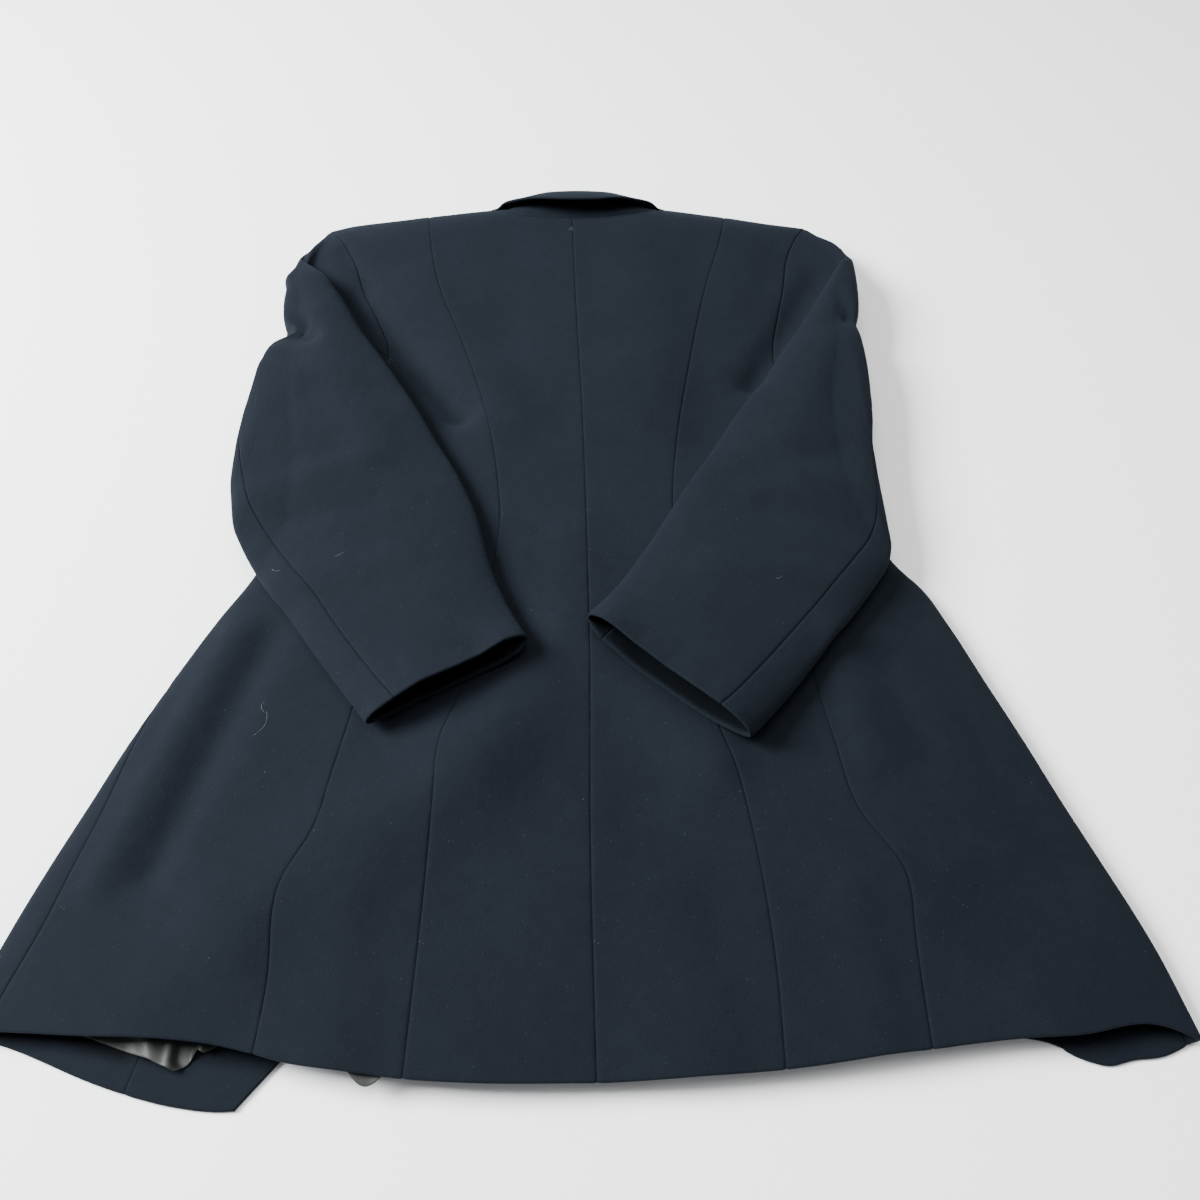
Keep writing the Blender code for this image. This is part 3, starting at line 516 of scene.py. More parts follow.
@dataclass(frozen=True)
class BodyForm:
    """Outer face of the body as it lies: the back above, the fronts under it.

    A ring place runs round the body at one level: 0 at centre back, 1 at the side fold,
    2 at centre front.
    """

    # Roll of the side folds and of the shoulders.
    fold_rise: float = 7.0
    shoulder_rise: float = 14.0
    shoulder_reach: float = 45.0
    fold_edge: float = 0.08
    dome_power: float = 0.30
    shoulder_power: float = 0.35
    # What lies folded under the fronts, and how softly they rise over it.
    layer: float = 2.9
    overlap_room: float = 1.7
    edge_room: float = 6.0
    lapel_room: float = 5.0
    roll_room: float = 10.0
    roll_top: float = 160.0
    collar_from: float = 258.0
    collar_cover: float = 52.0
    lift_soft: float = 42.0
    button_lift: float = 4.1
    button_patch: tuple[float, float, float, float] = (-52.0, 58.0, -106.0, 4.0)
    # How far a front may pass centre front.
    past_centre: float = -0.99
    # Where the level that a sleeve rests on is carried on unchanged.
    rest_share: float = 0.93
    rest_top: float = 300.0
    # Height of the back along its middle: (y, z).
    crest: Rows = ((-378, 17), (-300, 23), (-200, 27), (-100, 29), (0, 29), (100, 30),
                   (200, 33), (280, 37), (345, 41), (385, 41))
    centre_back: Rows = ((-376, 8.5), (-250, 4.8), (-103, 3.5), (-36, 1.8), (119, -3.6),
                         (236, -9.6), (351, -14.5), (385, -16))
    back_hem: Rows = ((-338, -343), (-278, -347), (-175, -357), (-161, -361), (-121, -367),
                      (-94, -370), (10, -371.5), (110, -365), (185, -355), (234, -349),
                      (268, -347), (313, -341), (333, -347))
    shoulder: Rows = ((-245, 335), (-228, 350.5), (-207, 355), (-165, 359.5), (-135, 363),
                      (-87, 370), (-12, 374), (67, 370), (115, 363), (155, 357),
                      (184, 354.5), (200, 353), (210, 344), (225, 324))
    neckline: Rows = ((-82, 371), (-75, 353), (-58, 344), (-35, 340), (-10, 339),
                      (16, 340), (39, 344), (56, 353), (63, 371))
    # Start x, y; end x, y; half width; height.
    soft_folds: Rows = (
        (-196, 250, -98, 114, 14, -12.5), (-144, 262, -54, 108, 20, 3.0),
        (-209, 306, -180, 256, 7, -4.0), (178, 315, 92, 85, 30, -5.0),
        (195, 276, 132, 150, 14, -10.5), (45, 330, 42, 120, 34, 3.0),
        (100, 300, 82, 130, 20, -2.5), (-70, 320, -62, 200, 22, -1.6),
        (-8, -10, -12, -85, 22, 3.0), (-10, -98, -68, -190, 32, 6.0),
        (-68, -190, -190, -288, 36, 7.0),
        (-234, -88, -281, -262, 13, 5.5), (-207, -88, -250, -255, 12, -6.5),
        (18, -115, 80, -190, 20, 5.0), (80, -190, 205, -262, 28, 5.0),
        (36, -225, 70, -262, 28, -4.0), (80, -296, 220, -322, 28, -3.6),
        (162, -100, 180, -185, 12, 4.0), (196, -110, 214, -180, 10, -3.0),
        (222, -60, 282, -245, 26, -6.5),
        (-132, -280, -134, -365, 18, 2.0), (58, -272, 66, -360, 22, 1.6),
        (-215, -280, -240, -350, 24, 2.4), (152, -272, 160, -352, 18, 2.0),
        (-170, -300, -184, -360, 14, -1.6), (14, -290, 12, -368, 20, -1.4),
    )
    ripple: Ripple = Ripple(seed=11, layers=((85.0, 0.7), (38.0, 0.35), (15.0, 0.10)))

    def fold_x(self, half: Half, y: Array) -> Array:
        """x of the side fold at each y."""
        return smooth(half.side_fold, y)

    def across(self, half: Half, x: Array, y: Array, least: float, most: float) -> Array:
        """Share of the way from centre back to the side fold.

        Args:
            half: the half whose side fold is meant.
            x: plan places across.
            y: plan places along.
            least: the smallest share given back.
            most: the greatest share given back.

        Returns:
            The share at each place.
        """
        middle = smooth(self.centre_back, y)
        return np.clip((x - middle) / (self.fold_x(half, y) - middle), least, most)

    def ring_of(self, half: Half, x: Array, y: Array) -> Array:
        """Ring place of a point of the back."""
        return np.arcsin(self.across(half, x, y, 0.0, 1.0)) * 2.0 / math.pi

    def front_ring(self, half: Half, x: Array, y: Array) -> Array:
        """Ring place of a point of the underside."""
        return 2.0 - np.arcsin(self.across(half, x, y, self.past_centre, 1.0)) * 2.0 / math.pi

    def ring_x(self, half: Half, ring: Array, y: Array) -> Array:
        """x of a ring place at each y."""
        middle = smooth(self.centre_back, y)
        return middle + (self.fold_x(half, y) - middle) * np.sin(ring * math.pi / 2.0)

    def relief(self, x: Array, y: Array) -> Array:
        """Soft folds and unevenness of the back."""
        return ridge(self.soft_folds, x, y) + self.ripple.at(x, y)

    def shoulder_share(self, x: Array, y: Array) -> Array:
        """0 on the shoulder's fold, 1 where the back is level below it."""
        depth = (straight(self.shoulder, x) - y - self.fold_edge) / self.shoulder_reach
        return (1.0 - (1.0 - np.clip(depth, 0.0, 1.0)) ** 2) ** self.shoulder_power

    def _domed(self, share: Array, near: Array, x: Array, y: Array) -> Array:
        """Height of cloth domed across the body and rolled down at the shoulder.

        Args:
            share: share of the way from centre back to the side fold.
            near: 0 on the shoulder's fold, 1 clear of it.
            x: plan places across.
            y: plan places along.

        Returns:
            The height at each place.
        """
        dome = (1.0 - share ** 2) ** self.dome_power
        crown = smooth(self.crest, y) - self.fold_rise + self.relief(x, y)
        return self.shoulder_rise * (1.0 - near) + (self.fold_rise + crown * dome) * near

    def back_height(self, half: Half, x: Array, y: Array) -> Array:
        """Height of the back's outer face."""
        share = self.across(half, x, y, -1.0, 1.0)
        return self._domed(share, self.shoulder_share(x, y), x, y)

    def rest_height(self, x: Array, y: Array) -> Array:
        """Height that a folded sleeve rests on.

        Args:
            x: plan places across.
            y: plan places along.

        Returns:
            The height at each place, carried on level past the back's edges.
        """
        shares = [self.across(half, x, y, 0.0, self.rest_share) for half in HALVES]
        near = self.shoulder_share(x, np.minimum(y, self.rest_top))
        return self._domed(np.maximum(*shares), near, x, y)

    def front_lift(self, half: Half, x: Array, y: Array) -> Array:
        """How far a front stands off the surface over what is folded under it.

        Args:
            half: the half whose lapel is meant.
            x: plan places across.
            y: plan places along.

        Returns:
            The lift at each place.
        """
        x0, x1, y0, y1 = self.button_patch
        off_x = np.clip(np.maximum(x0 - x, x - x1), 0, None)
        off_y = np.clip(np.maximum(y0 - y, y - y1), 0, None)
        buttons = ease(1.0 - np.hypot(off_x, off_y) / self.lift_soft) * self.button_lift
        out = (x - smooth(half.front_edge, y)) * half.sign
        reach = np.where(y > self.collar_from, self.collar_cover, straight(RIGHT.lapel, y))
        folded = ease((reach + self.lapel_room + self.lift_soft - out) / self.lift_soft)
        folded = folded * ease((y - half.lapel_start + self.lift_soft) / self.lift_soft)
        return np.maximum(buttons, folded * self.layer)

    def front_height(self, half: Half, x: Array, y: Array) -> Array:
        """Height of a front's outer face, rounded up to the side fold and shoulder.

        Args:
            half: the half that the front belongs to; the left one laps over the right.
            x: plan places across.
            y: plan places along.

        Returns:
            The height at each place.
        """
        soft = self.lift_soft
        lift = self.front_lift(RIGHT, x, y)
        if half is LEFT:
            over = ease((x - smooth(RIGHT.front_edge, y) + self.edge_room + soft) / soft)
            over = over * ease((self.roll_top + self.roll_room + soft - y) / soft)
            own = self.front_lift(LEFT, x, y)
            own = own * ease((y - LEFT.lapel_start + 2 * soft) / soft)
            lift = np.maximum(over * (lift + self.layer + self.overlap_room),
                              np.minimum(own, self.layer))
        side = rounded(np.abs(self.fold_x(half, y) - x), self.fold_rise)
        top = rounded(straight(self.shoulder, x) - y, self.shoulder_rise)
        return np.maximum(np.maximum(side, top), lift)

    def point(self, half: Half, ring: Array, y: Array) -> Array:
        """Find points of the outer face.

        Args:
            half: the half that they lie on.
            ring: their ring places.
            y: their places along the body.

        Returns:
            The points, in millimetres.
        """
        x = self.ring_x(half, ring, y)
        z = np.where(ring <= 1.0, self.back_height(half, x, y), self.front_height(half, x, y))
        return np.stack([x, y, z], axis=-1)


@dataclass
class ClothPiece:
    """One cut piece of cloth: a thin closed wall with sewn or turned edges."""

    name: str
    outer: Array
    # Finish of the first and the last column, then of the first and the last row.
    edges: tuple[Edge, Edge, Edge, Edge]
    wall: float = 1.2
    hem_wall: float = 2.2
    hem_depth: float = 38.0
    hem_soft: float = 2.0
    groove: float = 0.5
    inner_groove: float = 0.35
    groove_width: float = 0.6
    # The seam allowance pressed open under the cloth raises it a little.
    allowance: float = 0.16
    allowance_width: float = 13.0
    allowance_soft: float = 3.0
    allowance_clear: float = 2.5
    pucker: float = 0.16
    pucker_reach: float = 7.0
    pucker_clear: float = 1.5
    round_steps: int = 4
    sharp_from: float = 62.0
    # Cloth that shows on the inside, by a seam and beyond a hem; past it the inner face, and an
    # outer face where a share is given, is painted near-black: lining, and painted shade in
    # openings and under the collar's fall.
    facing: float = 8.0
    facing_soft: float = 14.0
    face_lined: Array | None = None
    ripple: Ripple = Ripple(seed=53, layers=((7.0, 1.0), (3.6, 0.5)))

    def build(self, material: Material) -> Object:
        """Make the piece's mesh.

        Args:
            material: the finish of the piece.

        Returns:
            The new object.
        """
        grid = self.outer
        across = arc_length(grid, 0)
        along = arc_length(grid, 1)
        far = (across, across[-1:] - across, along, along[:, -1:] - along)
        seam = self._nearest(far, Edge.SEAM)
        hem = self._nearest(far, Edge.FOLD)
        normal = unit(np.cross(np.gradient(grid, axis=0), np.gradient(grid, axis=1)))
        sunk = np.exp(-(seam / self.groove_width) ** 2)[..., None]
        near = ease((self.allowance_width - seam) / self.allowance_soft)
        near = near * ease(seam / self.allowance_clear)
        rumple = self.pucker * self.ripple.at(across, along) * np.exp(-seam / self.pucker_reach)
        raised = (self.allowance * near + rumple * ease(seam / self.pucker_clear))[..., None]
        doubled = ease((self.hem_depth - hem) / self.hem_soft)[..., None]
        thick = self.wall + (self.hem_wall - self.wall) * doubled
        face = grid + normal * (raised - self.groove * sunk)
        inside = grid - normal * (thick - self.inner_groove * sunk)
        length = np.broadcast_to(along.mean(axis=0), along.shape)
        weave = np.stack([across - across.mean(), length, np.zeros_like(along)], axis=-1)
        # Painted near-black inside past the facings: lining, and painted shade where openings
        # show the inside.
        lined = ease((np.minimum(hem, seam + self.facing) - self.facing) / self.facing_soft)
        upper = np.zeros(lined.shape) if self.face_lined is None else self.face_lined
        marks = {WEAVE_AT: (weave, weave), SEAM_NEAR: (seam, seam), LINING_AND_SHADE: (upper, lined)}
        return self._join(face, inside, marks, material)

    def _nearest(self, far: Sequence[Array], kind: Edge) -> Array:
        """Measure to the nearest edge of a kind.

        Args:
            far: distances from each of the four edges.
            kind: the finish of the edges that count.

        Returns:
            Each point's distance, or a long one where no edge has that finish.
        """
        chosen = [gap for gap, edge in zip(far, self.edges) if edge is kind]
        if not chosen:
            return np.full(far[0].shape, FAR)
        return np.minimum.reduce([np.broadcast_to(gap, far[0].shape) for gap in chosen])

    def _rim(self, face: Array, index: Array) -> tuple[Array, Array]:
        """Follow the rim of a grid.

        Args:
            face: points of the outer face.
            index: each point's index.

        Returns:
            The rim's indices in order, and the way out of the cloth at each one that
            lies on a turned edge.
        """
        out = np.zeros(face.shape)
        for edge, here, inner in zip(self.edges, EDGES, INSIDE_EDGES):
            if edge is Edge.FOLD:
                out[here] += unit(face[here] - face[inner])
        rim = np.concatenate([index[:, 0], index[-1, 1:], index[-2::-1, -1], index[0, -2:0:-1]])
        return rim, unit(out.reshape(-1, 3)[rim])

    def _join(self, face: Array, inside: Array, marks: dict[str, tuple[Array, Array]],
              material: Material) -> Object:
        """Join the two faces round the rim into one closed mesh.

        Args:
            face: points of the outer face.
            inside: points of the inner face.
            marks: values for the finish by name, on the outer and on the inner face.
            material: the finish of the piece.

        Returns:
            The new object.
        """
        count = face.shape[0] * face.shape[1]
        index = np.arange(count).reshape(face.shape[:2])
        rim, out = self._rim(face, index)
        top, low = (side.reshape(-1, 3)[rim] for side in (face, inside))
        middle, half = (top + low) / 2, (top - low) / 2
        radius = np.linalg.norm(half, axis=1, keepdims=True)
        turns = [math.pi * step / self.round_steps for step in range(1, self.round_steps)]
        points = [face.reshape(-1, 3), inside.reshape(-1, 3)]
        points += [middle + half * math.cos(turn) + out * radius * math.sin(turn)
                   for turn in turns]
        a, b = index[:-1, :-1].ravel(), index[1:, :-1].ravel()
        c, d = index[1:, 1:].ravel(), index[:-1, 1:].ravel()
        quads = [np.stack([a, b, c, d], axis=1), np.stack([d, c, b, a], axis=1) + count]
        loops = [rim]
        loops += [2 * count + len(rim) * k + np.arange(len(rim)) for k in range(len(turns))]
        loops.append(rim + count)
        quads += [np.stack([np.roll(upper, -1), upper, lower, np.roll(lower, -1)], axis=1)
                  for upper, lower in zip(loops[:-1], loops[1:])]
        mesh = make_mesh(self.name, (np.concatenate(points) * MM).tolist(),
                         np.concatenate(quads).tolist(), material)
        mesh.shade_smooth()
        mesh.set_sharp_from_angle(angle=math.radians(self.sharp_from))
        for mark, sides in marks.items():
            values = [side.reshape(count, -1) for side in sides]
            values += [values[0][rim]] * len(turns)
            kind, key = ("FLOAT", "value") if sides[0].ndim == 2 else ("FLOAT_VECTOR", "vector")
            layer = mesh.attributes.new(mark, kind, "POINT")
            layer.data.foreach_set(key, np.concatenate(values).astype(np.float32).ravel())
        return place_object(self.name, mesh)


@dataclass(kw_only=True)
class Sewn:
    """A sub-assembly of cloth pieces, cut and sewn over the body's form."""

    form: BodyForm
    material: Material
    slot: Slot = Slot.WOOL
    ending: str = "cloth"

    def sew(self, name: str, outer: Array, edges: tuple[Edge, ...], **fit: object) -> Object:
        """Make a cloth piece in the place of the solid of the same name.

        Args:
            name: the solid's name.
            outer: points of its outer face, as (columns, rows, 3).
            edges: how its four edges are finished.
            **fit: sizes of the piece other than the usual ones.

        Returns:
            The new object.
        """
        made = ClothPiece(f"{name}_{self.ending}", outer, edges, **fit).build(self.material)
        dress(made, [name])
        return made


@dataclass(kw_only=True)
class Body(Sewn):
    """The body's panels: five on each half, from centre back round to the front edge."""

    inset: float = -0.04
    inset_probe: float = 0.004
    least_run: float = 0.02
    hem_level: float = -370.0
    hem_blend: float = -200.0
    top_level: float = 372.0
    row_step: float = 4.0
    front_facing: float = 70.0
    settle_rounds: int = 8
    samples: int = 25
    hem_rows: Row = (0.0, 0.8, 2.0)
    near_seam: Row = (0.0, 0.35, 0.8, 1.4, 2.4, 4.5, 8.0, 13.0)
    top_turn: Row = (45, 38, 31, 25, 20, 15.5, 11.5, 8, 5.2, 3, 1.6, 0.7, 0.2, 0)
    centre_line: Rows = ((-400, 0.0), (400, 0.0))

    def build(self) -> list[Object]:
        """Make all ten panels.

        Returns:
            The new objects.
        """
        made = []
        for half in HALVES:
            princess = self._seam(half, half.princess)
            second = self._seam(half, half.second_seam)
            third = self._ring_curve(half.third_seam)
            front_seam = self._seam(half, half.front_seam, under=True)
            back_outer = self._upper(second, self._seam(half, half.back_armhole),
                                     half.back_join)
            front_outer = self._upper(
                front_seam, self._seam(half, half.front_armhole, under=True), half.front_join)
            centre = self._ring_curve(self.centre_line)
            foot = self._level(half.back_join)
            underarm = self._underarm(half)
            made += [
                self._panel("back", half, centre, princess, foot, self._back_top(half),
                            inner=22),
                self._panel("side_back", half, princess, back_outer, foot, self._top(half),
                            inner=15),
                self._panel("side", half, second, third, underarm, None, inner=24),
                self._panel("front_side", half, third, front_seam, underarm, None, inner=22),
                self._panel("front", half, front_outer, self._front_edge(half),
                            self._level(half.front_join), self._top(half), inner=40,
                            last=Edge.FOLD, facing=self.front_facing),
            ]
        return made

    def _ring_curve(self, rows: Rows) -> Place:
        """Ring place of a seam given as (y, ring place) rows."""
        return lambda y: smooth(rows, y)

    def _seam(self, half: Half, rows: Rows, under: bool = False) -> Place:
        """Read a seam given as (y, x) rows.

        Args:
            half: the half that it lies on.
            rows: the seam's rows.
            under: whether it lies on the underside.

        Returns:
            A function for its ring place at each y.
        """
        def place(y: Array) -> Array:
            """Ring place at each y."""
            ring = self.form.ring_of(half, smooth(rows, y), y)
            return 2.0 - ring if under else ring
        return place

    def _upper(self, seam: Place, armhole: Place, join: float) -> Place:
        """An edge that follows a seam up to `join` and an armhole above it."""
        return lambda y: np.where(y < join, seam(y), armhole(y))

    def _front_edge(self, half: Half) -> Place:
        """Ring place of a front's free edge and roll line."""
        return lambda y: self.form.front_ring(half, smooth(half.front_edge, y), y)

    def _level(self, y_there: float) -> Place:
        """The same y all across a panel."""
        return lambda ring, y: np.full(np.shape(ring), float(y_there))

    def _underarm(self, half: Half) -> Place:
        """y of the armhole's foot at each ring place."""
        return lambda ring, y: smooth(half.underarm, ring)

    def _top(self, half: Half) -> Place:
        """y of the shoulder's fold."""
        return lambda ring, y: straight(self.form.shoulder, self.form.ring_x(half, ring, y))

    def _back_top(self, half: Half) -> Place:
        """Follow the back's top along the shoulder and the neck seam.

        Args:
            half: the half that it belongs to.

        Returns:
            A function for its y at each ring place.
        """
        neck = self.form.neckline

        def place(ring: Array, y: Array) -> Array:
            """y at each ring place."""
            x = self.form.ring_x(half, ring, y)
            inside = (x > neck[0][0]) & (x < neck[-1][0])
            return np.where(inside, straight(neck, x), straight(self.form.shoulder, x))
        return place

    def _hem(self, half: Half, ring: Array, y: Array) -> Array:
        """y of the hem at each ring place."""
        x = self.form.ring_x(half, ring, y)
        return np.where(ring <= 1.0, smooth(self.form.back_hem, x), smooth(half.front_hem, x))

    def _levels(self, turn: Array) -> Array:
        """Set out a panel's rows.

        Args:
            turn: levels of its last rows, where it turns or is sewn.

        Returns:
            The levels of all its rows from the hem up.
        """
        low = self.hem_level + np.array(self.hem_rows)
        count = int((turn[0] - low[-1]) / self.row_step)
        return np.concatenate([low, np.linspace(low[-1], turn[0], count)[1:-1], turn])

    def _panel(self, kind: str, half: Half, first: Place, second: Place, foot: Place,
               top: Place | None, inner: int, last: Edge = Edge.SEAM, **fit: float) -> Object:
        """Make a panel between two edges.

        Args:
            kind: the panel's name without its half.
            half: the half that it belongs to.
            first: ring place of its edge nearer to centre back.
            second: ring place of its other edge.
            foot: y that it has at the armhole's foot.
            top: y of its top, or None where it ends at the armhole's foot.
            inner: columns between those that lie close to its edges.
            last: how its second edge is finished.
            **fit: sizes of the piece other than the usual ones.

        Returns:
            The new object.
        """
        reverse = half is LEFT

        def surface(u: Array, v: Array) -> Array:
            """Find points of the outer face.

            Args:
                u: shares across the panel, from left to right.
                v: row levels.

            Returns:
                The points, in millimetres.
            """
            share = 1.0 - u if reverse else u
            y = v
            for _ in range(self.settle_rounds):
                ring = first(y) + (second(y) - first(y)) * share
                y = self._row_y(half, v, ring, y, foot, top)
            start = self._inset(half, first(y), y, 1.0)
            finish = self._inset(half, second(y), y, -1.0)
            return self.form.point(half, start + (finish - start) * share, y)

        if top is None:
            turn = half.back_join - np.array(self.near_seam)[::-1]
        else:
            turn = self.top_level - np.array(self.top_turn)
        outer = spread(surface, self._levels(turn), inner, self.near_seam, self.samples)
        sides = (last, Edge.SEAM) if reverse else (Edge.SEAM, last)
        return self.sew(f"{kind}_{half.name}", outer, (*sides, Edge.FOLD, Edge.SEAM), **fit)

    def _inset(self, half: Half, ring: Array, y: Array, towards: float) -> Array:
        """Move an edge into its panel, or out of it where the inset is below 0.

        Args:
            half: the half that it lies on.
            ring: ring places of the edge.
            y: its places along the body.
            towards: 1 where the panel lies past it round the ring, -1 where before.

        Returns:
            The edge's new ring places.
        """
        step = self.inset_probe * towards
        run = self.form.point(half, ring + step, y) - self.form.point(half, ring, y)
        run = np.maximum(np.linalg.norm(run, axis=-1), self.least_run)
        return ring + step * self.inset / run

    def _row_y(self, half: Half, level: Array, ring: Array, y: Array, foot: Place,
               top: Place | None) -> Array:
        """Blend row levels to the hem below and to the panel's top above.

        Args:
            half: the half that the panel belongs to.
            level: the row levels.
            ring: ring places along the rows.
            y: y of the rows so far.
            foot: y that the panel has at the armhole's foot.
            top: y of its top, or None where it ends at the armhole's foot.

        Returns:
            y of each point of the rows.
        """
        join = half.back_join
        near_hem = (self.hem_blend - level) / (self.hem_blend - self.hem_level)
        near_hem = np.clip(near_hem, 0.0, 1.0)
        near_join = np.clip(level / join, 0.0, 1.0)
        foot_y = foot(ring, y)
        hem = self._hem(half, ring, y)
        low_y = level + (hem - self.hem_level) * near_hem + (foot_y - join) * near_join
        if top is None:
            return low_y
        share = (level - join) / (self.top_level - join)
        return np.where(level <= join, low_y, foot_y + (top(ring, y) - foot_y) * share)


@dataclass(kw_only=True)
class Sleeve(Sewn):
    """A two-piece sleeve, set into the armhole and folded across the back.

    A place runs round the sleeve from 0 at its inner edge by the upper face to 0.5 at
    its outer edge and back to 1. A station counts its loops from 0 at the armhole.
    """

    half: Half
    clear: float = 1.2
    turn_power: float = 0.6
    face_power: float = 0.42
    fold_power: float = 0.6
    turn_blend: float = 1.5
    arm_join: float = 0.35
    start_step: float = 0.05
    armhole_gap: float = 0.25
    least_clear: float = 0.25
    seam_gap: float = 0.0002
    probe: float = 0.002
    cuff_reach: float = 0.9
    cuff_hem: float = 30.0
    # The sleeve's inner face turns near-black almost at the cuff's edge: painted shade inside the
    # opening.
    cuff_facing: float = 0.2
    cuff_facing_soft: float = 3.0
    # The pinches fade out above the floor and away from the side fold at this level.
    dent_reach: float = 40.0
    dent_level: float = 200.0
    dent_floor: float = 2.0
    dent_soft: float = 8.0
    samples: int = 49
    near_seam: Row = (0.0, 0.35, 0.8, 1.4, 2.4, 4.5, 8.0)
    # Stations of the rows: at the armhole, then steps of two sizes, then before the cuff.
    head_rows: Row = (0.0, 0.012, 0.03, 0.06, 0.1, 0.16)
    turn_rows: Row = (0.25, 5.0, 0.125)
    arm_step: float = 0.11
    cuff_rows: Row = (0.15, 0.08, 0.03, 0.0)
    cuff_start: float = 0.2
    # Seams as (station share, place round the sleeve).
    forearm_seam: Rows = ((0, 0.42), (0.4, 0.40), (1, 0.36))
    hindarm_seam: Rows = ((0, 0.712), (0.3, 0.80), (1, 0.90))

    def build(self) -> list[Object]:
        """Make the top sleeve and the under sleeve.

        Returns:
            The new objects.
        """
        return [
            self._piece("sleeve_top", self.hindarm_seam, self.forearm_seam, shift=1.0,
                        inner=84),
            self._piece("sleeve_under", self.forearm_seam, self.hindarm_seam, shift=0.0,
                        inner=44),
        ]

    def _over(self, place: Array) -> Array:
        """Share of the way from the inner edge to the outer edge."""
        return (1 - np.cos(TURN * place)) / 2

    def _on_top(self, place: Array) -> Array:
        """Whether a place is on the half that ends up on top."""
        return np.mod(place, 1.0) < 0.5

    def _bulge(self, place: Array, power: float) -> Array:
        """Rounding of a loop: 0 at both edges, 1 midway between them."""
        return np.abs(np.sin(TURN * place)) ** power

    def _armhole(self, place: Array) -> Array:
        """Follow the armhole from the shoulder by the front to the underarm and back.

        Args:
            place: places round the sleeve.

        Returns:
            The points, in millimetres.
        """
        half, form = self.half, self.form
        place = np.mod(place, 1.0)
        front = place < 0.5
        fold = np.where(front, place, 1.0 - place)
        share = (1 - np.cos(TURN * fold)) / (1 - math.cos(TURN * self.arm_join))
        share = np.clip(share, 0, 1)
        below = np.clip((fold - self.arm_join) / (0.5 - self.arm_join), 0, 1)
        foot = np.where(front, half.front_join, half.back_join)
        y_above = half.arm_tip - (half.arm_tip - foot) * share
        ring_front = 2.0 - form.ring_of(half, smooth(half.front_armhole, y_above), y_above)
        ring_back = form.ring_of(half, smooth(half.back_armhole, y_above), y_above)
        first = half.underarm[-1][0]
        last = half.underarm[0][0]
        ring_below = np.where(front, first + (1 - first) * below, last + (1 - last) * below)
        above = fold < self.arm_join
        ring = np.where(above, np.where(front, ring_front, ring_back), ring_below)
        y = np.where(above, y_above, smooth(half.underarm, ring_below))
        x = form.ring_x(half, ring, y)
        z = np.where(front, form.front_height(half, x, y), form.back_height(half, x, y))
        return np.stack([x, y, z], axis=-1)

    def _turned(self, row: Row, place: Array) -> Array:
        """Follow a loop of the turn at the side.

        Args:
            row: its row of `sleeve_turn`.
            place: places round the sleeve.

        Returns:
            The points, in millimetres.
        """
        share = self._over(place)[..., None]
        top, low = (np.array(row[k:k + 3], dtype=float) for k in (0, 3))
        front, back = (np.array([row[k], 0.0, row[k + 1]]) for k in (6, 8))
        bulge = np.where(self._on_top(place)[..., None], front, back)
        return top + (low - top) * share + bulge * self._bulge(place, self.turn_power)[..., None]

    def _folded(self, row: Row, place: Array) -> Array:
        """Follow a loop of the folded part.

        Args:
            row: its row of `sleeve_folded`.
            place: places round the sleeve.

        Returns:
            The points, in millimetres, z measured from what it rests on.
        """
        inner_x, inner_y, outer_x, outer_y, thick, edge = row
        share = self._over(place)
        bulge = self._bulge(place, 2 * self.face_power)
        z = self.clear + edge + np.where(self._on_top(place), thick - edge, -edge) * bulge
        return np.stack([inner_x + (outer_x - inner_x) * share,
                         inner_y + (outer_y - inner_y) * share, z], axis=-1)

    def _loops(self, place: Array) -> Array:
        """Follow every station's loop.

        Args:
            place: places round the sleeve.

        Returns:
            The points by station, in millimetres, z measured from what they rest on.
        """
        turned = [self._armhole(place)]
        turned += [self._turned(row, place) for row in self.half.sleeve_turn]
        for loop in turned:
            loop[..., 2] -= self.form.rest_height(loop[..., 0], loop[..., 1])
        return np.stack(turned + [self._folded(row, place) for row in self.half.sleeve_folded])

    def _between(self, place: Array, station: Array) -> Array:
        """Read smooth lines along the sleeve through its loops.

        Args:
            place: places round the sleeve.
            station: stations along it.

        Returns:
            The points, in millimetres, z measured from what the sleeve rests on.
        """
        loops = self._loops(place)
        last = self.half.cuff_station
        low = np.clip(np.floor(station).astype(int), 0, last - 1)
        t = (station - low)[..., None]
        index = tuple(np.indices(place.shape))
        before, start, finish, after = (
            loops[(np.clip(low + k, 0, last),) + index] for k in (-1, 0, 1, 2))
        slope_start = (finish - before) / 2
        slope_finish = (after - start) / 2
        rise = finish - start
        bend = slope_start + slope_finish - 2 * rise
        cubic = 3 * rise - 2 * slope_start - slope_finish + t * bend
        return start + t * (slope_start + t * cubic)

